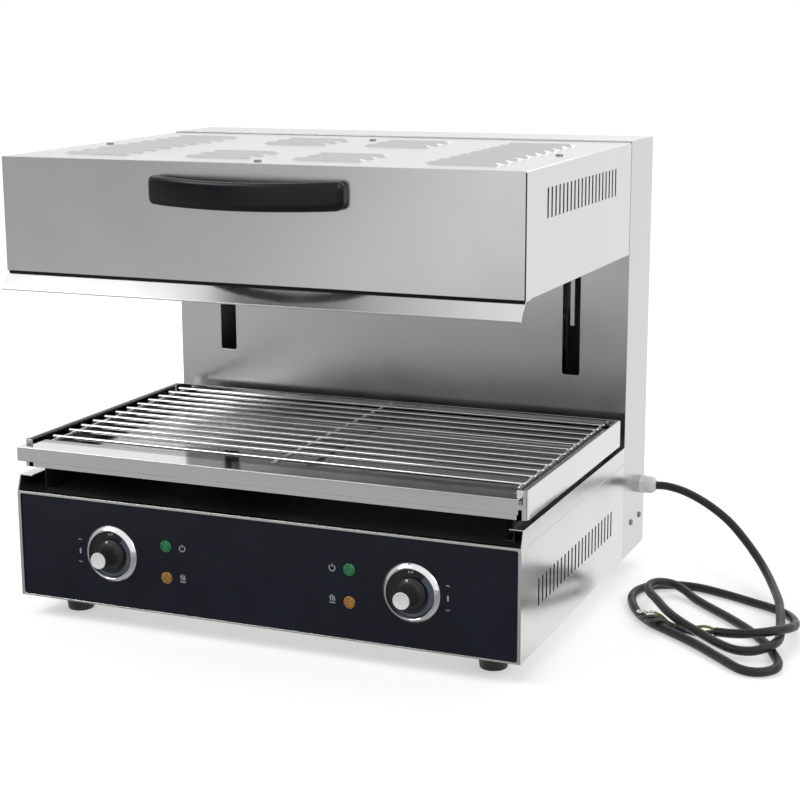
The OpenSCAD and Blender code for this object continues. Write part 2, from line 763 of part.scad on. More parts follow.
// Nine louvres down each side and two sets of three between them, front and back
module at_top_louvres() {
    side_x = half_w - 86.5;
    mid_x = 64;
    for (i = [0 : 8], s = [-1, 1])
        translate([s * side_x, top_louvre_y + i * top_louvre_pitch, 0]) children();
    for (i = [0, 1, 2, 6, 7, 8], s = [-1, 1])
        translate([s * mid_x, top_louvre_y + i * top_louvre_pitch, 0]) children();
}

// Top and both sides from one sheet, with the louvres
module hood_cover() place() color("gainsboro") difference() {
    bend = 2.5;
    front = hood_y + sheet_t + 0.2;
    union() {
        difference() {
            intersection() {
                box([-half_w, front, hood_z], [half_w, hood_back, hood_top + 2 * hood_rise + 1]);
                on_hood_top() translate([0, hood_back + 10, -hood_h]) rotate([90, 0, 0])
                    linear_extrude(hood_back + 20) round_rect(body_w, 2 * hood_h, bend);
            }
            run_x(-inner_w, inner_w, [[front - 1, hood_z - 1], [hood_back + 1, hood_z - 1],
                [hood_back + 1, under_top(hood_back + 1)], [front - 1, under_top(front - 1)]]);
        }
        on_hood_top() at_top_louvres() louvre_outside();
    }
    on_hood_top() at_top_louvres() louvre_inside();
    for (s = [-1, 1]) side_louvres(s * half_w, hood_louvres, hood_top - 36);
}

// Front panel, with a narrow seam to the sides
module hood_front() place() color("silver") {
    seam = 0.8;
    box([-half_w + seam, hood_y, hood_z + 0.6], [half_w - seam, hood_y + sheet_t, hood_top]);
    box([-inner_w, hood_y + sheet_t - eps, hood_z + 0.6],
        [inner_w, hood_y + 9, hood_z + 0.6 + sheet_t]);
}

// Flared lip under the front, with its edge folded back double
module hood_lip() place() color("whitesmoke") {
    fold_y = hood_y + 4;
    top_z = hood_z;
    low = [fold_y - lip_out - 2, top_z - lip_h];
    along = unit([fold_y, top_z] - low);
    inward = [along[1], -along[0]];
    hem = 6;
    run_x(-half_w + 0.5, half_w - 0.5, [
        [fold_y, top_z], [fold_y + 14, top_z], [fold_y + 14, top_z - sheet_t],
        [fold_y + 0.6, top_z - sheet_t], low + hem * along + sheet_t * inward,
        low + hem * along + 2 * sheet_t * inward, low + 2 * sheet_t * inward,
        low - 0.6 * along + sheet_t * inward, low
    ]);
}

module hood_rear() place() color("silver") difference() {
    run_x(-inner_w, inner_w, [[hood_back - sheet_t, hood_z], [hood_back, hood_z],
        [hood_back, under_top(hood_back)], [hood_back - sheet_t, under_top(hood_back - sheet_t)]]);
    for (x = [-arm_x, arm_x])
        box([x - arm_t / 2, hood_back - 5, arm_z], [x + arm_t / 2, hood_back + 5, arm_top]);
}

// Cross brace that the arms butt against inside the hood
module hood_brace() place() color("silver") {
    t = 2;
    back = arm_reach;
    front = back - 14;
    run_x(-inner_w, inner_w, [[back - t, arm_z - 8], [back, arm_z - 8], [back, under_top(back)],
        [front, under_top(front)], [front, under_top(front) - t], [back - t, under_top(back) - t]]);
}

module hood_screws() place() color("dimgray") {
    side_x = half_w - 25;
    for (p = [[0, 24], [0, hood_back - 58], [-side_x, louvre_mid - 11], [side_x, louvre_mid - 11]])
        on_hood_top() translate(p) screw_head(8);
}

// Bowed bar handle whose ends turn back to the hood, hollowed along its top
module handle() place() color("#1b1d22") {
    half = handle_w / 2;
    bow = handle_out * 0.62;                    // how far the middle stands ahead of the ends
    arc_r = (half * half + bow * bow) / (2 * bow);
    corner = min(7, handle_t - 2);
    corner_x = half - corner;
    corner_angle = asin(corner_x / (arc_r - corner));
    corner_y = arc_r - handle_out - (arc_r - corner) * cos(corner_angle);
    band_x = arc_r * sin(corner_angle);
    mid_z = hood_top - 30;
    sag = 3;
    sag_r = half * half / (2 * sag);
    drop = 2;                                   // the lower edge hangs lower in the middle
    drop_r = half * half / (2 * drop);
    difference() {
        intersection() {
            translate([0, hood_y, mid_z - handle_h / 2]) linear_extrude(handle_h) {
                intersection() {
                    translate([0, arc_r - handle_out]) difference() {
                        circle(r = arc_r, $fn = 720);
                        circle(r = arc_r - handle_t, $fn = 720);
                    }
                    translate([-band_x, -2 * handle_out]) square([2 * band_x, 2 * handle_out]);
                }
                for (s = [-1, 1]) translate([s * corner_x, corner_y]) {
                    circle(corner);
                    translate([-corner, 0]) square([2 * corner, -corner_y]);
                }
            }
            translate([0, hood_y, mid_z]) rotate([90, 0, 0]) linear_extrude(2 * handle_out)
                intersection() {
                    round_rect(handle_w, handle_h, 6);
                    translate([0, drop_r - handle_h / 2]) circle(r = drop_r, $fn = 1440);
                }
        }
        translate([0, -100, mid_z + handle_h / 2 - sag + sag_r]) rotate([-90, 0, 0])
            cylinder(r = sag_r, h = 200, $fn = 720);
    }
}

// Reflector: a sloped pan over the heaters, with a flat rim round it
module reflector() place() color("lightgray") {
    t = 1;
    slope = 24;
    rim_z = hood_z + 3;
    rim_x = inner_w - 0.5;
    rim_y = hood_y + 18.5;
    difference() {
        union() {
            run_x(-reflector_x, reflector_x, [
                [reflector_y, rim_z], [reflector_back, rim_z],
                [reflector_back - slope, reflector_top], [reflector_y + slope, reflector_top]
            ]);
            box([-rim_x, rim_y, rim_z], [rim_x, hood_back - sheet_t, rim_z + t]);
        }
        run_x(-reflector_x + t, reflector_x - t, [
            [reflector_y + 1.6, rim_z - 1], [reflector_back - 1.6, rim_z - 1],
            [reflector_back - slope - 0.8, reflector_top - t], [reflector_y + slope + 0.8, reflector_top - t]
        ]);
        for (s = [-1, 1], i = [0, heater_runs - 1])
            bar_x([s * reflector_x - 5, heater_y + i * heater_pitch, heater_z], heater_d + 0.2, 10);
    }
}

module insulation() place() color("khaki") {
    box([-reflector_x + 12, reflector_y + 26, reflector_top],
        [reflector_x - 12, reflector_back - 26, reflector_top + insulation_h]);
}

// Heater: one tube bent to and fro, its two cold ends leaving at the side
module heater() {
    bend_r = heater_pitch / 2;
    inner_x = 16 + bend_r;
    outer_x = reflector_x - 12 - bend_r;
    end_x = reflector_x + 10;
    for (i = [0 : heater_runs - 1]) {
        last_x = (i == 0 || i == heater_runs - 1) ? end_x : outer_x;
        bar_x([inner_x, heater_y + i * heater_pitch, heater_z], heater_d, last_x - inner_x);
    }
    for (i = [0 : 2 : heater_runs - 2])
        translate([inner_x, heater_y + (i + 0.5) * heater_pitch, heater_z]) rotate(90)
            rotate_extrude(angle = 180) translate([bend_r, 0]) circle(d = heater_d);
    for (i = [1 : 2 : heater_runs - 3])
        translate([outer_x, heater_y + (i + 0.5) * heater_pitch, heater_z]) rotate(-90)
            rotate_extrude(angle = 180) translate([bend_r, 0]) circle(d = heater_d);
}

module heater_left() place() color("#5b5048") mirror([1, 0, 0]) heater();
module heater_right() place() color("#5b5048") heater();

// Combs that hold the heater tubes up under the reflector
module heater_combs() place() color("darkgray") difference() {
    comb_x = [-206, -76, 76, 206];
    last_y = heater_y + (heater_runs - 1) * heater_pitch;
    for (x = comb_x)
        box([x - 0.8, heater_y - 7, heater_z - 8], [x + 0.8, last_y + 7, reflector_top - 1]);
    for (i = [0 : heater_runs - 1])
        bar_x([-half_w, heater_y + i * heater_pitch, heater_z], heater_d + 0.3, body_w);
}

// ---------- mains connection ----------

module terminal_block() place() color("ivory") difference() {
    low = [rod_x + 30, back_y - 36, bracket_z + bracket_t];
    box(low, low + [46, 22, 18]);
    for (i = [0 : 2]) bar_z(low + [9 + 14 * i, 11, 6], 6, 20);
}

// Cable gland: thread, inside nut, hexagon and domed cap
module gland() place() color("whitesmoke") {
    inside = 12;
    translate([half_w, gland_y, gland_z]) rotate([0, 90, 0]) difference() {
        union() {
            translate([0, 0, -inside]) cylinder(d = gland_d - 3.2, h = inside + 2);
            translate([0, 0, -sheet_t - 5]) cylinder(d = gland_d + 1, h = 5, $fn = 6);
            cylinder(d = gland_d, h = 6, $fn = 6);
            translate([0, 0, 6 - eps]) cylinder(d = gland_d - 2, h = 7);
            rotate_extrude() polygon([[0, 12], [gland_d / 2 - 1, 12], [gland_d / 2 - 1.4, 15],
                [gland_d / 2 - 3.5, gland_l], [0, gland_l]]);
        }
        translate([0, 0, -inside - 1]) cylinder(d = cord_d, h = inside + gland_l - 2);
    }
}

// Least clear gap between two stretches of the cord, from points 4 mm apart
function along_route(p) = [for (i = [0 : len(p) - 2])
    let (n = ceil(norm(p[i + 1] - p[i]) / 4)) for (k = [0 : n - 1]) p[i] + (p[i + 1] - p[i]) * k / n];
function least_gap(q, skip) = min([for (i = [0 : len(q) - skip - 1], j = [i + skip : len(q) - 1])
    norm(q[i] - q[j])]);

module cord() color("#1e1f20") {
    route = follow_all(CORD_ROUTE);
    tube(route, cord_d, 10);
    echo(cord_least_gap_mm = least_gap(along_route(route), 10) - cord_d);
}

module conductors() {
    color("#8f8a2e") tube(follow_all(EARTH_ROUTE), wire_out_d, 8);
    color("#1a1a1a") tube(follow_all(LIVE_ROUTE), wire_out_d, 8);
    color("#1a1a1a") tube(follow_all(NEUTRAL_ROUTE), wire_out_d, 8);
}

// Crimped ring terminal at the end of a conductor, lying flat
module lug(route) {
    last = route[len(route) - 1];
    way = last - route[len(route) - 2];
    barrel = 9;
    translate(last) rotate(atan2(way[1], way[0])) {
        rotate([0, 90, 0]) cylinder(d = wire_out_d + 0.8, h = barrel);
        difference() {
            union() {
                translate([barrel + 5, 0, -0.5]) cylinder(d = 9, h = 1);
                translate([barrel - 2, -2, -0.5]) cube([5, 4, 1]);
            }
            translate([barrel + 5, 0, -2]) cylinder(d = 4.3, h = 4);
        }
    }
}

module lugs() color("silver") {
    lug(follow_all(EARTH_ROUTE));
    lug(follow_all(LIVE_ROUTE));
    lug(follow_all(NEUTRAL_ROUTE));
}

side_panel_left();
side_panel_right();
base_deck();
base_floor();
front_frame();
fascia_panel();
dial_ring_left();
dial_ring_right();
knob_left();
knob_right();
control_shaft_left();
control_shaft_right();
regulator_left();
regulator_right();
pilot_green_left();
pilot_amber_left();
pilot_green_right();
pilot_amber_right();
feet();
carrier_plinth();
pan_carrier();
drip_pan();
grate();
tower_shell();
tower_top();
rear_cover();
tower_screws();
bracket_bottom();
bracket_top();
guide_rod_left();
guide_rod_right();
lift_arm_left();
lift_arm_right();
bearing_block_left();
bearing_block_right();
carriage_bar();
counterweight();
pulley_left();
pulley_right();
pulley_axles();
cables_hood_side();
cables_weight_side();
cables_over_pulleys();
hood_cover();
hood_front();
hood_lip();
hood_rear();
hood_brace();
hood_screws();
handle();
reflector();
insulation();
heater_left();
heater_right();
heater_combs();
terminal_block();
gland();
cord();
conductors();
lugs();
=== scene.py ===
import math
import bpy
import numpy as np
from mathutils import Matrix, Vector


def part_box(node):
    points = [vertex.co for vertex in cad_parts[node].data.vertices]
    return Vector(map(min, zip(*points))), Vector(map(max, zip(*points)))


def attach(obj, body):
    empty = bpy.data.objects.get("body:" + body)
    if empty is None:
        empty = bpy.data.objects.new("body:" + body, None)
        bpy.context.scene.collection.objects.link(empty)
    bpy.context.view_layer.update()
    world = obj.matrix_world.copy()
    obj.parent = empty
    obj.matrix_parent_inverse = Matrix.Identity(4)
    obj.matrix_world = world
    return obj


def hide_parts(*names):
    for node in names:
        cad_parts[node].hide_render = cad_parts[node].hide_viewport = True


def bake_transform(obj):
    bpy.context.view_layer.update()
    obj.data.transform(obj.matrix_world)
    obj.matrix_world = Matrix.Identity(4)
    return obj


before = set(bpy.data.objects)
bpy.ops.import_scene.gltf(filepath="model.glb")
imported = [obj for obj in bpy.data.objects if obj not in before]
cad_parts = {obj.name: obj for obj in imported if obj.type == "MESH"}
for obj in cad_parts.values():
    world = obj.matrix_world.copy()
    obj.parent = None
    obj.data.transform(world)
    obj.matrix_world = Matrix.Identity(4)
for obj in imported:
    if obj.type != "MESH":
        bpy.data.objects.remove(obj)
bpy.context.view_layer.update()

# ---- Camera
# A long lens (about 78 mm on a 36 mm sensor) from the front right, a little above the hood,
# at the angle of the photograph.
azimuth, elevation, roll = (math.radians(a) for a in (-22.78, -12.19, -0.21))
forward = np.array([math.sin(azimuth) * math.cos(elevation),
                    math.cos(azimuth) * math.cos(elevation), math.sin(elevation)])
right = np.cross(forward, [0, 0, 1])
right = right / np.linalg.norm(right)
above = np.cross(right, forward)
right, above = (math.cos(roll) * right + math.sin(roll) * above,
                math.cos(roll) * above - math.sin(roll) * right)
camera = bpy.data.objects.new("camera", bpy.data.cameras.new("camera"))
camera.data.sensor_width = 36
camera.data.lens = 77.75
camera.data.clip_end = 200
stand = (0.8286, -1.7927, 0.6574)
camera.matrix_world = Matrix([[right[i], above[i], -forward[i], stand[i]] for i in range(3)] + [[0, 0, 0, 1]])
bpy.context.scene.collection.objects.link(camera)
bpy.context.scene.camera = camera
bpy.context.scene.view_settings.view_transform = "Standard"


# ---- Mains cord
# A round three-core rubber cord, 10 mm across, from the gland on the right of the tower down
# to the worktop, where it lies in two loose loops and ends with its sheath cut back.
def through(points, per_span):
    """A smooth line through points: between each two, per_span steps of a cubic set by the nearest four."""
    p = np.array(points, dtype=float)
    p = np.vstack([2 * p[0] - p[1], p, 2 * p[-1] - p[-2]])
    t = np.linspace(0, 1, per_span, endpoint=False)[None, :, None]
    a, b, c, d = (p[i:len(p) - 3 + i, None, :] for i in range(4))
    line = 0.5 * (2 * b + (c - a) * t + (2 * a - 5 * b + 4 * c - d) * t ** 2
                  + (3 * b - a - 3 * c + d) * t ** 3)
    return np.vstack([line.reshape(-1, 3), p[-2][None]])


def sheet_faces(rows, columns, closed=False):
    """The quads of a grid of rows by columns corners, whose last column joins the first if closed."""
    i, j = np.meshgrid(np.arange(rows - 1), np.arange(columns if closed else columns - 1), indexing="ij")
    near, far, step = i * columns, (i + 1) * columns, (j + 1) % columns
    return np.stack([near + j, far + j, far + step, near + step], axis=-1).reshape(-1, 4)


def tube_faces(rows, columns):
    """The quads of a tube of rows rings with columns corners each, and its two flat ends."""
    last = rows * columns - 1
    ends = [list(range(columns)), list(range(last, last - columns, -1))]
    return sheet_faces(rows, columns, True).tolist() + ends


def swept(path, profile, reference=(0, 0, 1), scale=None):
    """A closed profile carried along a path, with flat ends.

    Corner (i, j) is path[i] + scale[i] (profile[j].x side[i] + profile[j].y up[i]), where side is the path's
    direction crossed with reference, and up is side crossed with the direction.
    """
    path, profile = np.asarray(path, dtype=float), np.asarray(profile, dtype=float)
    way = np.gradient(path, axis=0)
    way /= np.linalg.norm(way, axis=1)[:, None]
    side = np.cross(way, np.asarray(reference, dtype=float))
    side /= np.linalg.norm(side, axis=1)[:, None]
    up = np.cross(side, way)
    k = np.ones(len(path)) if scale is None else np.asarray(scale, dtype=float)
    if k.ndim == 1:
        k = np.stack([k, k], axis=1)
    corners = (path[:, None] + k[:, :1, None] * profile[None, :, :1] * side[:, None]
               + k[:, 1:, None] * profile[None, :, 1:] * up[:, None])
    return corners.reshape(-1, 3), tube_faces(len(path), len(profile))


def circle(radius, sides):
    """sides points round a circle: radius (cos a, sin a)."""
    a = np.arange(sides) * 2 * np.pi / sides
    return radius * np.stack([np.cos(a), np.sin(a)], axis=1)


def piece(name, shapes, material, body, replaces=(), crease=35):
    """One object of one or more closed shapes, each an array of corners and a list of faces.

    It is smooth where faces meet at less than crease degrees, and rides on body, if there is one.
    """
    starts = np.cumsum([0] + [len(corners) for corners, _ in shapes])
    corners = np.vstack([c for c, _ in shapes])
    faces = [[int(v) + int(s) for v in face] for (_, fs), s in zip(shapes, starts) for face in fs]
    mesh = bpy.data.meshes.new(name)
    mesh.from_pydata(corners.tolist(), [], faces)
    mesh.polygons.foreach_set("use_smooth", np.ones(len(mesh.polygons), dtype=bool))
    mesh.set_sharp_from_angle(angle=math.radians(crease))
    mesh.calc_loop_triangles()
    tri = np.empty(len(mesh.loop_triangles) * 3, dtype=np.int32)
    mesh.loop_triangles.foreach_get("vertices", tri)
    a, b, c = corners[tri.reshape(-1, 3)].transpose(1, 0, 2)
    if np.einsum("ij,ij->i", a, np.cross(b, c)).sum() < 0:
        mesh.flip_normals()
    mesh.materials.append(material)
    obj = bpy.data.objects.new(name, mesh)
    bpy.context.scene.collection.objects.link(obj)
    if body:
        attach(obj, body)
    if replaces:
        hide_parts(*replaces)
    return obj


def finish_of(name, colour, metallic=0.0, roughness=0.5, **sockets):
    """A new node material, its tree and its shader, with the plain values set on the shader's own sockets."""
    material = bpy.data.materials.new(name)
    material.use_nodes = True
    shader = material.node_tree.nodes["Principled BSDF"]
    shader.inputs["Base Color"].default_value = (*colour, 1)
    shader.inputs["Metallic"].default_value = metallic
    shader.inputs["Roughness"].default_value = roughness
    for socket, value in sockets.items():
        shader.inputs[socket.replace("_", " ")].default_value = value
    return material, material.node_tree, shader


def node(tree, kind, inputs=None, **settings):
    """A node of that kind, with its settings, its plain input values and its linked inputs."""
    made = tree.nodes.new("ShaderNode" + kind)
    for key, value in settings.items():
        setattr(made, key, value)
    for key, value in (inputs or {}).items():
        if isinstance(value, bpy.types.NodeSocket):
            tree.links.new(value, made.inputs[key])
        else:
            made.inputs[key].default_value = value
    return made


def stretched(tree, scale):
    """Object coordinates, scaled by that much along X, Y and Z."""
    place = node(tree, "TexCoord")
    return node(tree, "Mapping", {"Vector": place.outputs["Object"], "Scale": scale}).outputs["Vector"]


def noise(tree, scale, detail=2.0, stretch=(1, 1, 1), **inputs):
    """Noise over the Object coordinates, from 0 to 1."""
    inputs = {"Vector": stretched(tree, stretch), "Scale": scale, "Detail": detail, **inputs}
    return node(tree, "TexNoise", inputs).outputs[0]


def two_tones(tree, shader, first, second, factor):
    """The shader's colour runs from the first to the second with factor."""
    mix = node(tree, "Mix", {"Factor": factor}, data_type="RGBA")
    mix.inputs["A"].default_value = (*first, 1)
    mix.inputs["B"].default_value = (*second, 1)
    tree.links.new(mix.outputs["Result"], shader.inputs["Base Color"])


def between(tree, shader, socket, factor, low, high):
    """That socket of the shader runs from low to high as factor goes from 0.3 to 0.7."""
    span = node(tree, "MapRange", {"Value": factor, "From Min": 0.3, "From Max": 0.7,
                                   "To Min": low, "To Max": high})
    tree.links.new(span.outputs["Result"], shader.inputs[socket])


def relief(tree, shader, height, distance, strength=1.0, normal=None):
    """Bumps of that height, distance metres deep, on top of another normal if one is given."""
    bump = node(tree, "Bump", {"Height": height, "Distance": distance, "Strength": strength})
    if normal is not None:
        tree.links.new(normal, bump.inputs["Normal"])
    tree.links.new(bump.outputs["Normal"], shader.inputs["Normal"])


def mottled(name, tones, scale, detail=2.0, rough=None, **values):
    """A new material: one noise runs its colour between the tones and its roughness between rough's."""
    material, tree, shader = finish_of(name, tones[0], **values)
    patch = noise(tree, scale, detail)
    if len(tones) > 1:
        two_tones(tree, shader, *tones, patch)
    if rough:
        between(tree, shader, "Roughness", patch, *rough)
    return material, tree, shader


def rubber(name, colour, worn, grain):
    """Moulded rubber or soft plastic: a fine grain, dull patches and a dusty second tone."""
    material, tree, shader = mottled(name, (colour, worn), 45.0, 3.0, (0.38, 0.56), Specular_IOR_Level=0.4)
    relief(tree, shader, noise(tree, grain, 4.0), 0.0002, 0.5)
    return material


cord_route = [
    (320, 239, 101), (334, 239, 101), (356, 237, 97), (384, 233, 86), (412, 226, 70), (435, 215, 52),
    (457, 197, 34), (474, 173, 21.5), (488, 140, 16), (500, 101, 16.5), (508, 67, 16), (515, 31, 14),
    (521, -2, 14.5), (523, -29, 16), (517, -50, 16), (503, -60, 13), (484, -58, 11), (463, -44, 10.5),
    (438, -21, 11), (410, 5, 12), (389, 28, 14), (370, 56, 16), (354, 82, 16.5), (349, 103, 16.5),
    (354.5, 120, 16), (370, 127.5, 13.5), (386, 121.5, 9.5), (401, 107.5, 6), (422, 86, 5.5), (449, 60, 5.5),
    (477, 30, 5.5), (493, 9, 5.5), (510, -16, 5.5), (522, -42, 5.5), (531, -65, 5.5), (530.5, -85, 5.5),
    (517, -99.5, 5.5), (497.5, -97.5, 5.5), (471, -73.5, 5.5), (437, -41, 5.5), (403, -14, 5.5),
    (377, 6, 5.5), (356, 31, 5.5), (341, 60, 5.5), (332, 90, 5.5), (334, 117, 5.5), (347, 137, 5.5),
    (370, 148, 5.5), (399, 148, 5.5), (434, 135, 5.5), (467, 119, 5.5), (494, 105, 5.5), (513, 87, 6.5),
    (526, 56, 11), (532.4, 20, 18.5), (530.8, -9, 25), (520, -29, 27.5), (502, -37, 25),
    (479, -32, 19.5), (455, -22, 15)]
cord_line = through(np.array(cord_route) / 1000, 6)
cord_radius = 0.005
cord_rubber = rubber("cord_rubber", (0.006, 0.006, 0.007), (0.016, 0.016, 0.017), 900.0)
cord = piece("mains_cord", [swept(cord_line, circle(cord_radius, 20))], cord_rubber, "chassis",
             ["cord"])


# ---- Conductors and ring lugs
# Three insulated copper conductors, yellow-green for earth and black for the other two, come out
# of the cut sheath. Each ends in a crimped ring lug: bare tinned copper on the earth, blackened on
# the other two, with a black sleeve over the crimp.
def coloured_core(name, colour, second):
    """Smooth PVC insulation with slight scuffs."""
    return mottled(name, (colour, second), 260.0, 3.0, (0.28, 0.48))[0]


core_routes = {
    "earth": [(458.3, -23.5, 17.7), (454.7, -21.9, 17.1), (446, -13, 16), (437, -1, 12), (428, 8, 7),
              (417, 13, 3), (404, 17, 2.4), (392, 23, 3), (383, 26, 8), (374, 23.5, 12.8)],
    "neutral": [(459.5, -22.1, 14.6), (455.9, -20.4, 14), (448, -13, 11.5), (439, -5, 7), (430, 1, 3.3),
                (418, 6, 2.2), (406, 9, 2.2), (394, 13, 3), (386, 14, 8.5), (378, 8, 12.8)],
    "live": [(458, -25.3, 14.6), (454.4, -23.7, 14), (446, -17, 11), (437, -11, 6), (428, -5, 2.8),
             (417, 0, 2.2), (405, 3, 2.2), (397, 5, 7.5), (388, -1, 12.8)]}
core_finish = {"earth": coloured_core("earth_core", (0.50, 0.36, 0.07), (0.13, 0.19, 0.04)),
               "neutral": coloured_core("black_core", (0.012, 0.012, 0.013), (0.03, 0.03, 0.03))}
core_finish["live"] = core_finish["neutral"]
# stripes of green and yellow along the earth core
stripe_tree = core_finish["earth"].node_tree
bands = node(stripe_tree, "TexWave", {"Vector": stretched(stripe_tree, (1, 1, 1)), "Scale": 90.0},
             bands_direction="DIAGONAL")
for link in list(stripe_tree.nodes["Principled BSDF"].inputs["Base Color"].links):
    stripe_tree.links.new(bands.outputs[0], link.from_node.inputs["Factor"])
lug_metal = mottled("tinned_copper", [(0.72, 0.71, 0.68)], 700.0, rough=(0.2, 0.42), metallic=1.0)[0]
core_radius, hole, rim_radius, half_thick = 0.0017, 0.00215, 0.0045, 0.0005
cores, lug_shapes, boot_shapes = [], [], []
for core, route in core_routes.items():
    line = through(np.array(route) / 1000, 8)
    cores.append(piece("core_" + core, [swept(line, circle(core_radius, 12))], core_finish[core], "chassis"))
    end, before = np.array(route[-1]) / 1000, np.array(route[-2]) / 1000
    lie = end - before
    lie[2] = 0
    lie /= np.linalg.norm(lie)
    across = np.array([-lie[1], lie[0], 0])
    # the barrel is a short sleeve round the end of the core, closed by the crimp at its middle
    s = np.linspace(0, 1, 15)
    squeeze = 1 - 0.22 * np.exp(-((s - 0.55) / 0.16) ** 2)
    barrel = swept(end + lie * (0.009 * s[:, None] - 0.001), circle(0.0021, 14), scale=squeeze)
    if core == "earth":
        lug_shapes.append(barrel)
    else:
        taper = np.concatenate([np.linspace(0.62, 1, 10), np.ones(14), np.linspace(1, 0.7, 10)])
        sleeve = np.vstack([line[-20:-1], end + lie * (0.011 * s[:, None])])
        boot_shapes.append(swept(sleeve, circle(0.0026, 16), scale=taper))
    # the ring is a flat washer: a rectangle turned about its hub
    turn = np.linspace(0, 2 * np.pi, 37)[:-1]
    rim = np.array([(hole, -half_thick), (rim_radius, -half_thick),
                    (rim_radius, half_thick), (hole, half_thick)])
    hub = end + lie * 0.014
    outward = np.cos(turn)[:, None, None] * lie + np.sin(turn)[:, None, None] * across
    ring = (hub + rim[None, :, :1] * outward + rim[None, :, 1:] * np.array([0, 0, 1])).reshape(-1, 3)
    i, j = np.meshgrid(np.arange(36), np.arange(4), indexing="ij")
    nxt, step = (i + 1) % 36, (j + 1) % 4
    rings = lug_shapes if core == "earth" else boot_shapes
    quads = np.stack([i * 4 + j, nxt * 4 + j, nxt * 4 + step, i * 4 + step], axis=-1).reshape(-1, 4)
    rings.append((ring, quads.tolist()))
    rings.append(swept([end + lie * 0.007, end + lie * 0.0085, end + lie * 0.0105],
                       [(-0.002, -half_thick), (0.002, -half_thick),
                        (0.002, half_thick), (-0.002, half_thick)]))
lugs = piece("ring_lugs", lug_shapes, lug_metal, "chassis", ["lugs"])
boots = piece("lug_boots", boot_shapes, core_finish["live"], "chassis")
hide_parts("conductors")


# ---- Cable gland
# A pale grey nylon compression gland in the side of the tower: a hexagon against the sheet, and
# a ribbed dome nut that grips the cord.
def turned(profile, centre, axis, sides=48, ripple=None):
    """A profile of (radius, height) points turned about an axis through centre, with a flat face at each end.

    Corner (i, j) is centre + height[j] axis + radius[j] (cos a[i] e1 + sin a[i] e2), where e1 and e2 are
    square to the axis. ripple(a, radius, height) may change the radius.
    """
    profile = np.asarray(profile, dtype=float)
    axis = np.asarray(axis, dtype=float)
    e1 = np.cross(axis, [0, 0, 1] if abs(axis[2]) < 0.9 else [1, 0, 0])
    e1 /= np.linalg.norm(e1)
    e2 = np.cross(axis, e1)
    a = np.arange(sides) * 2 * np.pi / sides
    radius, height = profile[:, 0][None, :], profile[:, 1][None, :]
    r = radius + np.zeros((sides, 1)) if ripple is None else ripple(a[:, None], radius, height)
    around = np.cos(a)[:, None, None] * e1 + np.sin(a)[:, None, None] * e2
    corners = np.asarray(centre, dtype=float) + height[:, :, None] * axis + r[:, :, None] * around
    n, m = corners.shape[:2]
    i, j = np.meshgrid(np.arange(n), np.arange(m - 1), indexing="ij")
    nxt = (i + 1) % n
    quads = np.stack([i * m + j, i * m + j + 1, nxt * m + j + 1, nxt * m + j], axis=-1).reshape(-1, 4)
    caps = [[k * m for k in range(n)], [k * m + m - 1 for k in range(n - 1, -1, -1)]]
    return corners.reshape(-1, 3), quads.tolist() + caps


def looped(profile, centre, axis, sides=64):
    """A closed ring profile turned about an axis, as turned() does, with no ends."""
    corners, faces = turned(list(profile) + [profile[0]], centre, axis, sides)
    m = len(profile) + 1
    keep = np.arange(len(corners)).reshape(sides, m)
    keep[:, -1] = keep[:, 0]
    keep = keep.reshape(-1)
    used = np.unique(keep)
    order = np.searchsorted(used, keep)
    return corners[used], [[int(order[v]) for v in face] for face in faces[:-2]]


gland_centre = np.array([0.300, 0.239, 0.101])
gland_nylon = mottled("gland_nylon", ((0.72, 0.74, 0.76), (0.86, 0.87, 0.88)), 220.0, 4.0, (0.35, 0.5),
                      Subsurface_Weight=0.1, Subsurface_Scale=0.002)[0]


def hexagonal(a, radius, height):
    """A hexagon's edge at angle a, where the profile asks for its full radius."""
    flat = math.cos(math.pi / 6) / np.cos((a + math.pi / 6) % (math.pi / 3) - math.pi / 6)
    return radius * np.minimum(1.0, flat)


def gripped(a, radius, height):
    """Twelve shallow grip ribs round the nut, none on its dome."""
    return radius * (1 - 0.035 * (np.cos(12 * a) > 0.2) * (height < 0.0125) * (height > 0.0068))


piece("cable_gland", [
    turned([(0.0113, 0.0), (0.0113, 0.0055), (0.0108, 0.006), (0.006, 0.006)],
           gland_centre, (1, 0, 0), 72, hexagonal),
    turned([(0.006, 0.006), (0.0104, 0.006), (0.0107, 0.0066), (0.0107, 0.0125), (0.0103, 0.0145),
            (0.0093, 0.0165), (0.0078, 0.0183), (0.0062, 0.0195), (0.0054, 0.02), (0.0051, 0.0197)],
           gland_centre, (1, 0, 0), 144, gripped),
    turned([(0.0098, -0.012), (0.0098, 0.0), (0.0095, 0.0002), (0.006, 0.0002)], gland_centre, (1, 0, 0), 48),
    turned([(0.0118, -0.0062), (0.0118, -0.0012), (0.006, -0.0012)], gland_centre, (1, 0, 0), 72, hexagonal)],
    gland_nylon, "chassis", ["gland"])

# ---- Studio
# A plain white floor that runs far back, a white surround, and soft lamps: a large one over the
# front left, and weaker ones at the right and behind. Metal also sees the studio's dim front.
floor_paint, floor_tree, floor_shader = finish_of("floor_paint", (0.86, 0.86, 0.86), roughness=0.9)


def level_at(tree, value, low, high, dim, bright):
    """A brightness that runs smoothly from dim to bright as value goes from low to high."""
    span = {"Value": value, "From Min": low, "From Max": high, "To Min": dim, "To Max": bright}
    return node(tree, "MapRange", span, interpolation_type="SMOOTHSTEP").outputs["Result"]


def in_metal(tree, rays):
    """1 for rays that a glossy or clear surface sends out, 0 for the rest."""
    sorts = {0: rays.outputs["Is Glossy Ray"], 1: rays.outputs["Is Transmission Ray"]}
    return node(tree, "Math", sorts, operation="MAXIMUM").outputs[0]


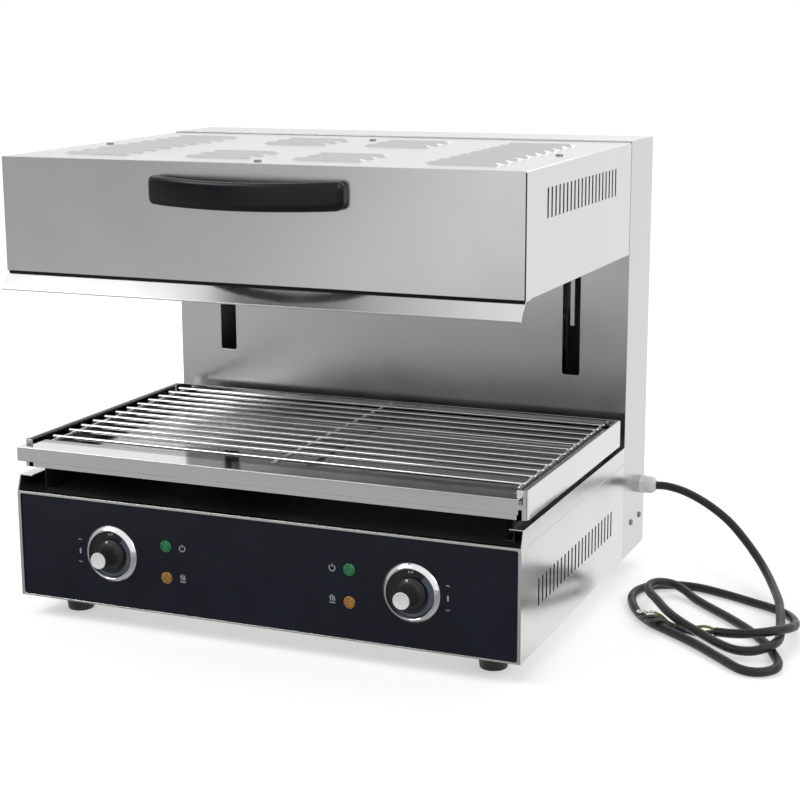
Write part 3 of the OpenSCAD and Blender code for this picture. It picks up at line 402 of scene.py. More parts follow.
rays = node(floor_tree, "LightPath")
spot = node(floor_tree, "SeparateXYZ", {"Vector": node(floor_tree, "TexCoord").outputs["Object"]})
# what the camera sees of the floor turns white behind the grill, where the lamps no longer reach
behind = level_at(floor_tree, spot.outputs["Y"], 0.3, 1.2, 0.42, 0.62)
glow = node(floor_tree, "Math", {0: rays.outputs["Is Camera Ray"], 1: behind}, operation="MULTIPLY")
floor_tree.links.new(glow.outputs[0], floor_shader.inputs["Emission Strength"])
floor_shader.inputs["Emission Color"].default_value = (1, 1, 1, 1)
# in metal it is white behind, dim close in front, and far in front bright ahead and dimmer to the sides
ahead = node(floor_tree, "Math", {0: spot.outputs["Y"], 1: -0.3, 2: spot.outputs["X"]},
             operation="MULTIPLY_ADD")
level = level_at(floor_tree, ahead.outputs[0], -0.75, 0.2, 0.48, 1.0)
right_side = level_at(floor_tree, spot.outputs["X"], -0.56, -0.44, level, 0.33)
near = level_at(floor_tree, spot.outputs["X"], -1.1, -0.45, 0.80, 0.15)
for start, end, dim in ((-2.7, -2.2, right_side), (-2.1, -1.4, near), (-1.1, -0.9, 0.5),
                        (-0.75, -0.35, 0.32), (-0.3, -0.05, 1.0)):
    level = level_at(floor_tree, spot.outputs["Y"], start, end, level, dim)
seen_in_metal = node(floor_tree, "Emission", {"Strength": level})
floor_mix = node(floor_tree, "MixShader", {0: in_metal(floor_tree, rays), 1: floor_shader.outputs[0],
                                           2: seen_in_metal.outputs[0]})
floor_tree.links.new(floor_mix.outputs[0], floor_tree.nodes["Material Output"].inputs["Surface"])
floor_mesh = bpy.data.meshes.new("floor")
floor_mesh.from_pydata([(-30, -30, 0), (30, -30, 0), (30, 60, 0), (-30, 60, 0)], [], [(0, 1, 2, 3)])
floor_mesh.materials.append(floor_paint)
floor = bpy.data.objects.new("floor", floor_mesh)
bpy.context.scene.collection.objects.link(floor)

world = bpy.data.worlds.new("surround")
world.use_nodes = True
bpy.context.scene.world = world
world_tree = world.node_tree
surround = world_tree.nodes["Background"]
rays = node(world_tree, "LightPath")
way = node(world_tree, "SeparateXYZ", {"Vector": node(world_tree, "TexCoord").outputs["Generated"]})
front = level_at(world_tree, way.outputs["X"], -0.50, -0.33, 0.24, 1.0)
around = level_at(world_tree, way.outputs["Y"], -0.75, 0.25, front, 1.0)
# overhead it is white to the left, and a dark flag hangs over the front, with light beyond it
roof = level_at(world_tree, way.outputs["X"], -0.52, -0.47, 1.0, around)
flag = level_at(world_tree, way.outputs["X"], -0.485, -0.470, 1.0, 0.10)
for start, end, dim in ((-0.43, -0.39, 0.55), (-0.39, -0.31, 0.95)):
    flag = level_at(world_tree, way.outputs["X"], start, end, flag, dim)
flag = level_at(world_tree, way.outputs["Y"], -0.34, -0.27, roof, flag)
flag = level_at(world_tree, way.outputs["Y"], -0.12, -0.06, flag, roof)
around = level_at(world_tree, way.outputs["Z"], 0.5, 0.7, around, flag)
level = node(world_tree, "MapRange", {"Value": in_metal(world_tree, rays), "To Min": 0.5, "To Max": around})
level = node(world_tree, "Math", {0: level.outputs["Result"], 1: rays.outputs["Is Camera Ray"]},
             operation="MAXIMUM")
world_tree.links.new(level.outputs[0], surround.inputs["Strength"])
surround.inputs["Color"].default_value = (1, 1, 1, 1)

for lamp_name, place, target, size, power in (
        ("lamp_left", (-1.6, -1.5, 2.2), (0, 0, 0.25), 1.6, 28),
        ("lamp_right", (2.4, -0.6, 1.5), (0.1, 0, 0.25), 1.2, 12),
        ("lamp_back", (0.3, 2.2, 2.2), (0, 0, 0.4), 1.5, 14)):
    lamp = bpy.data.lights.new(lamp_name, "AREA")
    lamp.shape, lamp.size, lamp.energy = "DISK", size, power
    obj = bpy.data.objects.new(lamp_name, lamp)
    aim = np.array(target) - np.array(place)
    obj.matrix_world = (Matrix.Translation(place)
                        @ Vector(aim).to_track_quat("-Z", "Y").to_matrix().to_4x4())
    bpy.context.scene.collection.objects.link(obj)


# ---- Stainless sheet of the control box
# Bent from 1.2 mm ground stainless sheet: the two side panels with their louvres and turned-in
# rims, and the frame round the control panel.
def stainless(name, grain, tone=0.66, rough=(0.2, 0.34), streaks=0.1, bend=0.0007):
    """Ground stainless sheet: hair lines along grain, cloudy smears, and edges shaded as if rounded."""
    material, tree, shader = finish_of(name, (tone, tone, tone * 0.985), 1.0, rough[0])
    along = {"X": (3, 900, 900), "Y": (900, 3, 900), "Z": (900, 900, 3), "none": (90, 90, 90)}[grain]
    hair = noise(tree, 1.0, 1.0, along, Roughness=0.5)
    smear = noise(tree, 7.0, 4.0, Distortion=0.6)
    both = node(tree, "Mix", {"Factor": 0.92, "A": hair, "B": smear}, data_type="FLOAT")
    between(tree, shader, "Roughness", both.outputs[0], *rough)
    darker, lighter = ((tone * k, tone * k, tone * (k - 0.01)) for k in (0.97, 1.03))
    two_tones(tree, shader, darker, lighter, smear)
    round_edge = node(tree, "Bevel", {"Radius": bend}, samples=4)
    relief(tree, shader, hair, 0.00003, streaks, round_edge.outputs["Normal"])
    return material


def painted_shade(material, axis, clear, dark, tone=0.04):
    """Painted shade: the colour falls to a dark tone as that Object coordinate goes from clear to dark."""
    tree = material.node_tree
    target = tree.nodes["Principled BSDF"].inputs["Base Color"]
    spot = node(tree, "SeparateXYZ", {"Vector": node(tree, "TexCoord").outputs["Object"]})
    depth = level_at(tree, spot.outputs[axis], clear, dark, 0, 1)
    mix = node(tree, "Mix", {"Factor": depth}, data_type="RGBA")
    tree.links.new(target.links[0].from_socket, mix.inputs["A"])
    mix.inputs["B"].default_value = (tone, tone, tone, 1)
    tree.links.new(mix.outputs["Result"], target)


def dress(material, *names):
    """The CAD nodes of those names get that material."""
    for name in names:
        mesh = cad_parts[name].data
        mesh.materials.clear()
        mesh.materials.append(material)


side_sheet = stainless("side_sheet", "Y", 0.70, (0.16, 0.26))
dress(side_sheet, "side_panel_left", "side_panel_right")
frame_sheet = stainless("frame_sheet", "X", 0.74, (0.14, 0.24))
dress(frame_sheet, "front_frame")

# ---- Floor plate and deck
# Plain mill-finish sheet: the floor with its vent slots, and the deck under the pan carrier.
mill_sheet = stainless("mill_sheet", "X", 0.52, (0.32, 0.5))
dress(mill_sheet, "base_floor")
deck_sheet = stainless("deck_sheet", "X", 0.45, (0.3, 0.42))
dress(deck_sheet, "base_deck")

# ---- Control panel
# A glossy blue-black printed panel, let into the frame, with holes for the dials and lamps.
panel_black, panel_tree, panel_shader = mottled("panel_black", ((0.005, 0.007, 0.014), (0.009, 0.013, 0.021)),
                                                18.0, 6.0, (0.24, 0.36), Specular_IOR_Level=0.25)
relief(panel_tree, panel_shader, noise(panel_tree, 320.0), 0.00008, 0.25)
dress(panel_black, "fascia_panel")

# ---- Marks printed on the panel
# Pale grey screen print: a ring with a bar beside each green lamp, heat waves beside each amber
# lamp, and a bar between two small chevrons beside each dial.
print_ink = mottled("print_ink", ((0.27, 0.30, 0.33), (0.45, 0.48, 0.51)), 900.0)[0]
panel_face = -0.2200


def stroke(points, width):
    """A printed line: a flat bar of that width, 0.08 mm thick, along points in X and Z on the panel."""
    flat = np.asarray(points, dtype=float)
    path = np.stack([flat[:, 0], np.full(len(flat), panel_face - 0.00002), flat[:, 1]], axis=1)
    w = width / 2
    return swept(path, [(-w, -0.00006), (w, -0.00006), (w, 0.00006), (-w, 0.00006)], (0, 1, 0))


marks = []
for s in (-1, 1):
    x, z = s * 0.0900, 0.1025
    a = np.radians(np.linspace(125, 415, 30))
    marks.append(stroke(np.stack([x + 0.0034 * np.cos(a), z + 0.0034 * np.sin(a)], axis=1), 0.0011))
    marks.append(stroke([(x, z + 0.0012), (x, z + 0.0030), (x, z + 0.0046)], 0.0010))
    z = 0.0685
    t = np.linspace(0, 1, 16)
    for k in (-1, 0, 1):
        marks.append(stroke(np.stack([x + k * 0.0023 + 0.0005 * np.sin(2 * np.pi * t),
                                      z - 0.0022 + (0.0056 + 0.0014 * (k == 0)) * t], axis=1), 0.0011))
    marks.append(stroke([(x - 0.0034, z - 0.0042), (x, z - 0.0042), (x + 0.0034, z - 0.0042)], 0.0011))
    x = s * 0.2205
    marks.append(stroke([(x, 0.0822), (x, 0.0852), (x, 0.0882)], 0.0018))
    for z, tip in ((0.0979, 0.0014), (0.0733, -0.0014)):
        marks.append(stroke([(x - 0.0022, z), (x, z + tip), (x + 0.0022, z)], 0.0008))
piece("panel_print", marks, print_ink, "chassis")

# ---- Dial rings and faces
# Each dial is a polished ring, sloped inside, round a black face with a printed heat wedge that
# thins clockwise and an off mark at the top.
chrome = mottled("ring_chrome", [(0.80, 0.80, 0.81)], 160.0, 3.0, (0.08, 0.2), metallic=1.0)[0]
face_black = mottled("face_black", ((0.008, 0.008, 0.010), (0.018, 0.018, 0.021)), 140.0, 4.0,
                     (0.28, 0.45))[0]
wedge_ink = mottled("wedge_ink", ((0.07, 0.088, 0.115), (0.10, 0.122, 0.155)), 200.0, roughness=0.45)[0]
dial_x, dial_z = 0.180, 0.0860
for s, hand in ((-1, "left"), (1, "right")):
    hub = (s * dial_x, panel_face, dial_z)
    piece("dial_ring_" + hand + "_chrome", [looped(
        [(0.0264, 0.0), (0.0325, 0.0), (0.0325, 0.0004), (0.0321, 0.0010), (0.0288, 0.0043), (0.0281, 0.0047),
         (0.0274, 0.0047), (0.0269, 0.0043), (0.0264, 0.0010)], hub, (0, -1, 0), 120)],
        chrome, "chassis", ["dial_ring_" + hand])
    face_ring = [(0.0176, 0.0), (0.0268, 0.0), (0.0268, 0.0002), (0.0176, 0.0002)]
    piece("dial_face_" + hand, [looped(face_ring, hub, (0, -1, 0), 96)], face_black, "chassis")
    a = np.radians(np.linspace(52, -128, 60))
    wide = 0.0075 * (1 - 0.86 * np.linspace(0, 1, 60) ** 1.2)
    middle = 0.0253 - wide / 2
    path = np.stack([hub[0] + middle * np.cos(a), np.full(60, panel_face - 0.00024),
                     dial_z + middle * np.sin(a)], axis=1)
    wedge = swept(path, [(-0.5, -0.00005), (0.5, -0.00005), (0.5, 0.00005), (-0.5, 0.00005)], (0, 1, 0),
                  np.stack([wide, np.ones(60)], axis=1))
    piece("dial_print_" + hand, [wedge], wedge_ink, "chassis")
    off = [turned([(0.0013, 0.0), (0.0013, 0.0003)], (hub[0] + dx, panel_face, dial_z + dz), (0, -1, 0), 24)
           for dx, dz in ((-0.0022, 0.0225), (0.0012, 0.0229))]
    piece("dial_off_mark_" + hand, off, print_ink, "chassis")

# ---- Knobs and control shafts
# Moulded black knobs on the regulators' steel shafts: a skirt with a white dot, a fluted stem
# and a pale metal cap pressed into its front.
knob_black = rubber("knob_black", (0.012, 0.012, 0.013), (0.022, 0.022, 0.024), 1500.0)
cap_metal = mottled("cap_metal", [(0.86, 0.86, 0.86)], 500.0, 3.0, (0.25, 0.42), metallic=0.15)[0]
dot_white = mottled("dot_white", ((0.7, 0.7, 0.68), (0.85, 0.85, 0.83)), 1500.0, roughness=0.4)[0]
shaft_steel = stainless("shaft_steel", "Y", 0.55, (0.25, 0.4), bend=0.0002)
dress(shaft_steel, "control_shaft_left", "control_shaft_right")


def fluted(a, radius, height):
    """Twenty-four shallow flutes round the stem, fading out at both of its ends."""
    window = np.clip((height - 0.0085) / 0.004, 0, 1) * np.clip((0.0262 - height) / 0.003, 0, 1)
    return radius - 0.00035 * window * (0.5 - 0.5 * np.cos(24 * a))


for s, hand in ((-1, "left"), (1, "right")):
    hub = np.array([s * dial_x, panel_face - 0.0003, dial_z])
    piece("knob_" + hand + "_stem", [turned(
        [(0.0145, 0.0002), (0.0166, 0.0), (0.0170, 0.0005), (0.0170, 0.0018), (0.0163, 0.0028),
         (0.0146, 0.0036), (0.0126, 0.0046), (0.0112, 0.0066), (0.0104, 0.0092), (0.0100, 0.0125),
         (0.0099, 0.0180), (0.0099, 0.0250), (0.0099, 0.0268), (0.0096, 0.0273), (0.0093, 0.0272)],
        hub, (0, -1, 0), 192, fluted)],
        knob_black, "knob_" + hand, ["knob_" + hand])
    piece("knob_" + hand + "_cap", [turned(
        [(0.0092, 0.0262), (0.0092, 0.0277), (0.0089, 0.0281), (0.0074, 0.0281), (0.0071, 0.0279),
         (0.0020, 0.0278)], hub, (0, -1, 0), 96)], cap_metal, "knob_" + hand)
    a = math.radians(104)
    spot = hub + [0.0143 * math.cos(a), -0.0030, 0.0143 * math.sin(a)]
    piece("knob_" + hand + "_dot", [turned(
        [(0.0015, 0.0), (0.0015, 0.0009), (0.0011, 0.0012)], spot, (0, -1, 0), 24)],
        dot_white, "knob_" + hand)

# ---- Energy regulators and terminal block
# Pale moulded cases behind the panel, and a moulded block of screw terminals for the cord. None
# of them shows from outside.
case_resin = rubber("case_resin", (0.55, 0.47, 0.34), (0.64, 0.56, 0.42), 600.0)
dress(case_resin, "regulator_left", "regulator_right")
block_resin = rubber("block_resin", (0.72, 0.71, 0.64), (0.80, 0.79, 0.72), 600.0)
dress(block_resin, "terminal_block")


# ---- Pilot lamps
# Snap-in lamps with a domed lens in moulded facets: green above, amber below, by each dial.
def lens(name, colour, bright):
    """Tinted moulded plastic: a deep tone between bright facets, whose brightness is painted highlight."""
    material, tree, shader = finish_of(name, colour, roughness=0.15, Coat_Weight=0.4)
    facets_and_glints = node(tree, "TexVoronoi", {"Vector": stretched(tree, (1, 1, 1)), "Scale": 380.0})
    # painted highlight: each facet is coloured bright at its middle, falling to the deep tone at its edges
    two_tones(tree, shader, bright, colour, facets_and_glints.outputs["Distance"])
    relief(tree, shader, facets_and_glints.outputs["Distance"], 0.0004, 0.7)
    return material


lens_finish = {"green": lens("green_lens", (0.003, 0.05, 0.02), (0.012, 0.26, 0.09)),
               "amber": lens("amber_lens", (0.12, 0.045, 0.004), (0.56, 0.27, 0.035))}
for s, hand in ((-1, "left"), (1, "right")):
    for tint, z in (("green", 0.103), ("amber", 0.067)):
        spot = (s * 0.110, panel_face, z)
        piece("lamp_" + tint + "_" + hand, [turned(
            [(0.0052, -0.0195), (0.0052, 0.0), (0.0067, 0.0), (0.0068, 0.0004), (0.0067, 0.0009),
             (0.0059, 0.0013), (0.0051, 0.0017), (0.0036, 0.0020), (0.0018, 0.00215), (0.0004, 0.0022)],
            spot, (0, -1, 0), 48)],
            lens_finish[tint], "chassis", ["pilot_" + tint + "_" + hand])

# ---- Feet
# Four turned rubber feet, tapered to the ground and hollow underneath for their screw.
foot_rubber = rubber("foot_rubber", (0.010, 0.010, 0.011), (0.035, 0.034, 0.032), 500.0)
foot_profile = [(0.004, 0.0), (0.0180, 0.0), (0.0180, -0.0012), (0.0177, -0.0020), (0.0149, -0.0241),
                (0.0142, -0.0250), (0.0095, -0.0250), (0.0090, -0.0245), (0.0090, -0.0170), (0.004, -0.0170)]
foot_spots = [(s * 0.254, y, 0.025) for s in (-1, 1) for y in (-0.173, 0.203)]
piece("rubber_feet", [looped(foot_profile, spot, (0, 0, 1), 48) for spot in foot_spots],
      foot_rubber, "chassis", ["feet"])


# ---- Plinth and pan carrier
# The dark plates that stand the carrier on the deck, and the carrier itself, a frame of bent
# stainless with beads rolled inwards along the tops of its sides and round front posts.
def enamel(name, colour, second):
    """Baked dark enamel: slight orange peel and dusty patches."""
    material, tree, shader = mottled(name, (colour, second), 25.0, 5.0, (0.35, 0.6))
    relief(tree, shader, noise(tree, 400.0, 3.0), 0.0001, 0.4)
    return material


dress(enamel("plinth_enamel", (0.012, 0.012, 0.014), (0.025, 0.025, 0.027)), "carrier_plinth")
carrier_sheet = stainless("carrier_sheet", "Y", 0.72, (0.07, 0.15), streaks=0.05, bend=0.0003)
(wall_x, front_y, low_z), (_, rear_y, high_z) = (np.array(c) * (-1, 1, 1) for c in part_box("pan_carrier"))
sheet, bead, post, sill, ledge_in, bend_r = 0.0012, 0.0017, 0.0115, 0.0105, 0.02, 0.006
top_z = high_z - 0.0028
turn = np.radians(np.arange(0, 271, 18))


def wound(points):
    """The same outline, running the way that all the carrier's shapes share."""
    p = np.asarray(points, dtype=float)
    q = np.roll(p, -1, axis=0)
    return p if (p[:, 0] * q[:, 1] - q[:, 0] * p[:, 1]).sum() > 0 else p[::-1]


shell = []
for s in (-1, 1):
    # a side: the wall with a bead rolled inwards along its top, and the ledge turned in at its foot
    rolled = np.stack([wall_x - bead + bead * np.cos(turn), top_z - bead + bead * np.sin(turn)], axis=1)
    outline = [(wall_x, low_z), *rolled, (wall_x - sheet, top_z - 2 * bead), (wall_x - sheet, low_z + sheet),
               (wall_x - ledge_in, low_z + sheet), (wall_x - ledge_in, low_z)]
    shell.append(swept([(0, front_y + bend_r, 0), (0, rear_y, 0)], wound(np.array(outline) * (s, 1))))
    # a front post: the wall goes on round a corner and ends a post's width in
    bend_turn = np.radians(np.linspace(0, -90, 9))
    outer, inside = (np.stack([wall_x - bend_r + r * np.cos(bend_turn),
                               front_y + bend_r + r * np.sin(bend_turn)], axis=1)
                     for r in (bend_r, bend_r - sheet))
    outline = [*outer, (wall_x - post, front_y), (wall_x - post, front_y + sheet), *inside[::-1]]
    shell.append(swept([(0, 0, low_z), (0, 0, top_z)], wound(np.array(outline) * (-s, 1)), (0, 1, 0)))
# the low front under the pan's rail, and the back
across_x = [(-wall_x + 0.002, 0, 0), (wall_x - 0.002, 0, 0)]
for y, top in ((front_y, low_z + sill), (rear_y - sheet, top_z)):
    shell.append(swept(across_x, wound([(-y, low_z), (-y - sheet, low_z), (-y - sheet, top), (-y, top)])))
# the ledges that the pan slides on
slide_z = 0.0095
for s in (-1, 1):
    ledge = [(wall_x - ledge_in, slide_z), (wall_x - sheet / 2, slide_z),
             (wall_x - sheet / 2, slide_z + sheet), (wall_x - ledge_in, slide_z + sheet)]
    shell.append(swept([(0, front_y + 0.008, low_z), (0, rear_y - 0.002, low_z)],
                       wound(np.array(ledge) * (s, 1))))
piece("carrier_shell", shell, carrier_sheet, "chassis", ["pan_carrier"], crease=50)

# ---- Drip pan
# A pressed pan of polished stainless; its front is a hollow rail with a flat polished shelf, and
# behind the shelf its colour is painted darker: painted shade for the dark hood that it reflects.
pan_sheet = stainless("pan_sheet", "X", 0.72, (0.06, 0.13), streaks=0.05, bend=0.0012)
dress(pan_sheet, "drip_pan")
# painted shade: the pan's colour falls to a dark grey behind the shelf
painted_shade(pan_sheet, "Y", -0.1990, -0.1900, 0.26)

# ---- Grate
# Bright-drawn 4 mm wires: the cross wires lie on three long ones and are welded to them, and
# every cut end is rounded.
wire_bright = stainless("wire_bright", "none", 0.8, (0.06, 0.14), streaks=0.15, bend=0.0002)


def wire(start, end, radius):
    """A straight wire with domed ends: the scale follows a quarter circle near each end."""
    start, end = np.array(start, dtype=float), np.array(end, dtype=float)
    length = np.linalg.norm(end - start)
    dome = radius * 0.8 * (1 - np.cos(np.linspace(0.25, np.pi / 2, 5)))
    straight = np.linspace(dome[-1], length - dome[-1], 12)[1:-1]
    s = np.concatenate([dome, straight, (length - dome)[::-1]]) / length
    edge = np.minimum(s, 1 - s) * length
    scale = np.sqrt(np.clip(1 - (1 - np.clip(edge / (radius * 0.8), 0, 1)) ** 2, 0.05, 1))
    return swept(start + (end - start) * s[:, None], circle(radius, 14), (0, 0, 1), scale)


wire_radius, cross_z, long_z = 0.002, 0.1998, 0.1963
cross_y = np.concatenate([[-0.168], -0.135 + 0.0254 * np.arange(11)])
wires = [wire((-0.2858, y, cross_z), (0.2858, y, cross_z), wire_radius) for y in cross_y]
wires += [wire((x, -0.1779, long_z), (x, 0.1249, long_z), wire_radius) for x in (-0.280, 0.0, 0.280)]
piece("wire_grate", wires, wire_bright, "grate", ["grate"], crease=50)

# ---- Tower
# Ground stainless, grained upright: the slotted front is bent round into both sides, and a lid
# and a flat rear cover with vent slots close it.
tower_sheet = stainless("tower_sheet", "Z", 0.61, (0.19, 0.26), streaks=0.02, bend=0.0011)
dress(tower_sheet, "tower_shell")
lid_sheet = stainless("lid_sheet", "X", 0.68, (0.2, 0.32))
dress(lid_sheet, "tower_top")
rear_sheet = stainless("rear_sheet", "Z", 0.58, (0.28, 0.42))
dress(rear_sheet, "rear_cover")

# ---- Screws
# Cross-recess screws of dull plated steel in the tower's sides and back and in the hood's top.
screw_metal = stainless("screw_metal", "none", 0.26, (0.3, 0.5), bend=0.0003)
dress(screw_metal, "tower_screws", "hood_screws")

# ---- Lift inside the tower
# Plated brackets, ground guide rods, aluminium bearing blocks, a cast counterweight, and steel
# cables that run over two turned pulleys.
zinc = stainless("zinc_plate", "none", 0.5, (0.34, 0.52))
dress(zinc, "bracket_bottom", "bracket_top", "carriage_bar")
rod_ground = stainless("rod_ground", "Z", 0.72, (0.08, 0.16), streaks=0.06, bend=0.0003)
dress(rod_ground, "guide_rod_left", "guide_rod_right", "pulley_axles")
block_alloy = stainless("block_alloy", "X", 0.48, (0.32, 0.46))
dress(block_alloy, "bearing_block_left", "bearing_block_right")
pulley_metal = stainless("pulley_metal", "none", 0.5, (0.28, 0.4), bend=0.0003)
dress(pulley_metal, "pulley_left", "pulley_right")
dress(enamel("cast_paint", (0.045, 0.047, 0.05), (0.07, 0.07, 0.072)), "counterweight")
strand_steel, strand_tree, strand_shader = finish_of("strand_steel", (0.35, 0.35, 0.34), 1.0, 0.4)
lay_and_groove_shade = node(strand_tree, "TexWave", {"Vector": stretched(strand_tree, (1, 1, 1)), "Scale": 180.0},
                 bands_direction="DIAGONAL")
# the lay lines are real relief; their low grooves get the dark tone, which is painted shade
two_tones(strand_tree, strand_shader, (0.16, 0.16, 0.155), (0.45, 0.45, 0.44), lay_and_groove_shade.outputs[0])
relief(strand_tree, strand_shader, lay_and_groove_shade.outputs[0], 0.0003)
dress(strand_steel, "cables_over_pulleys")
# the straight cables run down from the pulleys; on the grill their free length changes as the hood moves, but
# here each pair is baked in place on no body
for cables, body in (("cables_hood_side", "hood"), ("cables_weight_side", "counterweight")):
    low, high = (np.array(c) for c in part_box(cables))
    cable_r = (high[1] - low[1]) / 2
    hang = [(0, (low[1] + high[1]) / 2, z) for z in np.linspace(low[2], high[2], 60)]
    pair = [swept(np.array(hang) + (x, 0, 0), circle(cable_r, 12), (0, 1, 0))
            for x in (low[0] + cable_r, high[0] - cable_r)]
    obj = piece(cables.replace("cables", "straight_cables"), pair, strand_steel, None,
                [cables])
    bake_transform(obj)
arm_sheet = stainless("arm_sheet", "Z", 0.62, (0.22, 0.34), bend=0.0005)
dress(arm_sheet, "lift_arm_left", "lift_arm_right")

# ---- Hood shell
# Ground stainless, grained from side to side: a cover with louvres in its top and sides, a
# separate front, a polished lip folded out under it, and a plain back and brace.
hood_sheet = stainless("hood_sheet", "X", 0.70, (0.18, 0.26), streaks=0.02, bend=0.0004)
dress(hood_sheet, "hood_front")
# painted shade: the front's colour goes dark along its bottom edge, for the gap above the lip
painted_shade(hood_sheet, "Z", 0.3980, 0.3976)
cover_sheet = stainless("cover_sheet", "Y", 0.68, (0.18, 0.26), streaks=0.02, bend=0.0007)
dress(cover_sheet, "hood_cover")
# painted shade: the cover's colour goes dark along its front edge, for the gap at the seam with the front
painted_shade(cover_sheet, "Y", -0.2174, -0.2180)
lip_sheet = stainless("lip_sheet", "X", 0.76, (0.07, 0.15), streaks=0.05, bend=0.0006)
dress(lip_sheet, "hood_lip")
dress(mill_sheet, "hood_rear", "hood_brace")

# ---- Faces of the top louvres
# Each pressed louvre of the hood's top shows a rounded face to the front, that runs out flat over
# the last 6 mm of both ends.
# painted shade: the faces take a darker tone (0.60) than the cover (0.68) that they are pressed from
shaded_louvre_face = stainless("shaded_louvre_face", "none", 0.60, (0.19, 0.26), streaks=0.02, bend=0.0002)
tilt, half_wide, run_out, pitch = math.atan(4.5 / 376), 0.0412, 0.006, 0.031
front_y, first_row, top_z = -0.220, 0.062, 0.522
across = np.linspace(-half_wide, half_wide, 42)
rise = np.clip((half_wide - np.abs(across)) / run_out, 0.02, 1)
# the face's section, forward of the louvre's middle and up from the sheet, scaled in height along X
section = np.array([(-0.0094, -0.0002), (-0.0088, 0.0003), (-0.0075, 0.0013), (-0.0064, 0.0021),
                    (-0.0055, 0.00255), (-0.0052, 0.0022), (-0.0060, 0.0006), (-0.0070, -0.0002)])
faces = []
for s in (-1, 1):
    for x, rows in ((0.2135, range(9)), (0.064, (0, 1, 2, 6, 7, 8))):
        for row in rows:
            y = first_row + pitch * row + section[None, :, 0] + 0 * rise[:, None]
            z = section[None, :, 1] * rise[:, None]
            corners = np.stack([s * x + across[:, None] + 0 * z,
                                front_y + y * math.cos(tilt) - z * math.sin(tilt),
                                top_z + y * math.sin(tilt) + z * math.cos(tilt)], axis=-1)
            faces.append((corners.reshape(-1, 3), tube_faces(*corners.shape[:2])))
piece("louvre_faces", faces, shaded_louvre_face, "hood", crease=50)

# ---- Hood handle
# One bowed bar moulded in black heat-proof plastic, screwed on from behind, whose ends turn back
# to the hood. Its top is hollowed a little for the hand and its edges are well rounded.
handle_plastic, handle_tree, handle_shader = mottled(
    "handle_plastic", ((0.003, 0.0035, 0.005), (0.006, 0.007, 0.010)), 30.0, 4.0, (0.2, 0.34),
    Specular_IOR_Level=0.25)
relief(handle_tree, handle_shader, noise(handle_tree, 900.0, 3.0), 0.00008, 0.5)
# seen from above the bar is a band between two arcs, 309 mm and 296 mm in radius, that an 11 mm
# round corner turns back to the hood; seen from the front its corners are rounded to 8 mm
half, out, thick, corner = 0.1115, 0.0345, 0.013, 0.011
arc_r = 0.30913
swing = math.asin((half - corner) / (arc_r - corner))
corner_y = out - arc_r + (arc_r - corner) * math.cos(swing)
x = half * np.sin(np.linspace(-1, 1, 161) * np.pi / 2)
flat = np.abs(x)
outer = np.where(flat < arc_r * math.sin(swing), out - arc_r + np.sqrt(arc_r ** 2 - flat ** 2),
                 corner_y + np.sqrt(np.clip(corner ** 2 - (flat - half + corner) ** 2, 0, None)))
inner = out - arc_r + np.sqrt((arc_r - thick) ** 2 - flat ** 2)
foot, into_foot, soft, middle_z = 0.016, 0.005, 0.008, 0.4920
blend = np.clip((flat - half + foot) / into_foot, 0, 1)
inner = inner * (1 - blend * blend * (3 - 2 * blend)) + 0.0001
rounding = soft - np.sqrt(np.clip(soft ** 2 - np.clip(flat - half + soft, 0, None) ** 2, 0, None))
top = 0.016 - 0.003 * (1 - (flat / half) ** 2) - rounding
low = -0.016 + 0.002 * (flat / half) ** 2 + rounding
# every section is a squircle, |u|^4 + |v|^4 = 1, between the inner and outer faces and the two edges
a = np.arange(72) * 2 * np.pi / 72
u = np.sign(np.cos(a)) * np.abs(np.cos(a)) ** 0.5
v = np.sign(np.sin(a)) * np.abs(np.sin(a)) ** 0.5
corners = np.stack([x[:, None] + 0 * u,
                    front_y - (outer + inner)[:, None] / 2 - (outer - inner)[:, None] / 2 * u,
                    middle_z + (top + low)[:, None] / 2 + (top - low)[:, None] / 2 * v], axis=-1)
piece("bowed_handle", [(corners.reshape(-1, 3), tube_faces(*corners.shape[:2]))], handle_plastic, "hood",
      ["handle"], crease=60)

# ---- Reflector and insulation
# A folded reflector of bright aluminised sheet, with a batt of mineral wool laid on it.
reflector_sheet = stainless("reflector_sheet", "X", 0.6, (0.22, 0.36), bend=0.0008)
dress(reflector_sheet, "reflector")
wool, wool_tree, wool_shader = finish_of("mineral_wool", (0.55, 0.50, 0.36), roughness=0.95)
wool_tuft = noise(wool_tree, 160.0, 8.0, (1, 1, 4))
two_tones(wool_tree, wool_shader, (0.40, 0.36, 0.24), (0.66, 0.61, 0.46), wool_tuft)
relief(wool_tree, wool_shader, wool_tuft, 0.002)
wool_low, wool_high = (np.array(c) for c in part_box("insulation"))
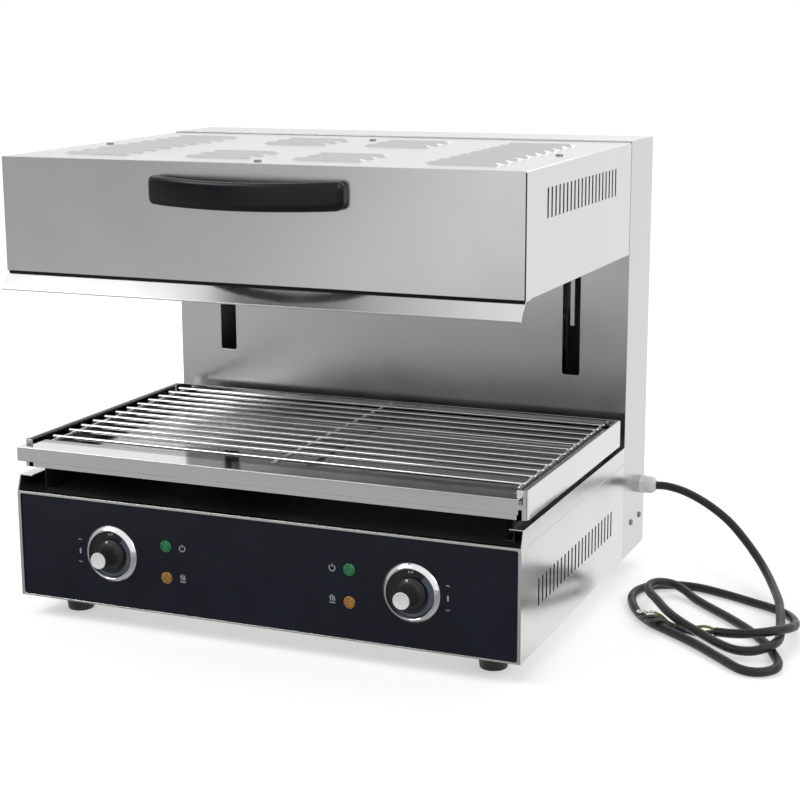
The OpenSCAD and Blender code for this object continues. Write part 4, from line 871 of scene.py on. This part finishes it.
# the batt: a slab whose top ripples by up to 1.5 mm, the sum of two sines
rows, columns = 70, 40
u, v = np.meshgrid(np.linspace(0, 1, rows), np.linspace(0, 1, columns), indexing="ij")
ripple = 0.0008 * np.sin(61 * u + 3 * np.sin(17 * v)) + 0.0007 * np.sin(53 * v + 2 * np.sin(23 * u))
x = wool_low[0] + 0.002 + (wool_high[0] - wool_low[0] - 0.004) * u
y = wool_low[1] + 0.002 + (wool_high[1] - wool_low[1] - 0.004) * v
top = np.stack([x, y, wool_high[2] - 0.0015 + ripple], axis=-1).reshape(-1, 3)
bottom = np.stack([x, y, np.full_like(x, wool_low[2])], axis=-1).reshape(-1, 3)
grid, count = sheet_faces(rows, columns), rows * columns
edge = np.concatenate([np.arange(0, count, columns), np.arange(count - columns + 1, count),
                       np.arange(count - columns - 1, -1, -columns), np.arange(columns - 2, 0, -1)])
wall = np.stack([edge, np.roll(edge, -1), np.roll(edge, -1) + count, edge + count], axis=1)[:, ::-1]
quads = np.vstack([grid, grid[:, ::-1] + count, wall])
piece("wool_batt", [(np.vstack([top, bottom]), quads.tolist())], wool, "hood",
      ["insulation"])

# ---- Heaters
# Two sheathed heating tubes, each bent to and fro in six runs, brown from heat, with both ends
# leaving at the side, and punched combs that hold them up under the reflector.
tube_dark = mottled("heater_tube", ((0.06, 0.052, 0.05), (0.20, 0.15, 0.115)), 22.0, 5.0, (0.35, 0.6),
                    metallic=0.6)[0]
low, high = (np.array(c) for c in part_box("heater_right"))
runs, tube_r, comb_x, past_comb = 6, 0.004, 0.282, 0.012
pitch = (high[1] - low[1] - 2 * tube_r) / (runs - 1)
inner, outer = low[0] + tube_r + pitch / 2, comb_x - past_comb - pitch / 2
line = []
for k in range(runs):
    y = low[1] + tube_r + k * pitch
    ends = (outer, inner) if k % 2 == 0 else (inner, outer)
    if k == 0:
        ends = (high[0], inner)
    if k == runs - 1:
        ends = (inner, high[0])
    line.append(np.stack([np.linspace(*ends, 12), np.full(12, y)], axis=1))
    if k < runs - 1:
        a = np.linspace(0, np.pi, 18)[1:-1]
        side_of = -1 if k % 2 == 0 else 1
        line.append(np.stack([ends[1] + side_of * pitch / 2 * np.sin(a),
                              y + pitch / 2 * (1 - np.cos(a))], axis=1))
line = np.vstack(line)
for s, hand in ((1, "right"), (-1, "left")):
    path = np.stack([s * line[:, 0], line[:, 1], np.full(len(line), (low[2] + high[2]) / 2)], axis=1)
    piece("heater_tube_" + hand, [swept(path, circle(tube_r, 14))], tube_dark, "hood",
          ["heater_" + hand], crease=50)
comb_sheet = stainless("comb_sheet", "Y", 0.5, (0.3, 0.45), bend=0.0002)
dress(comb_sheet, "heater_combs")
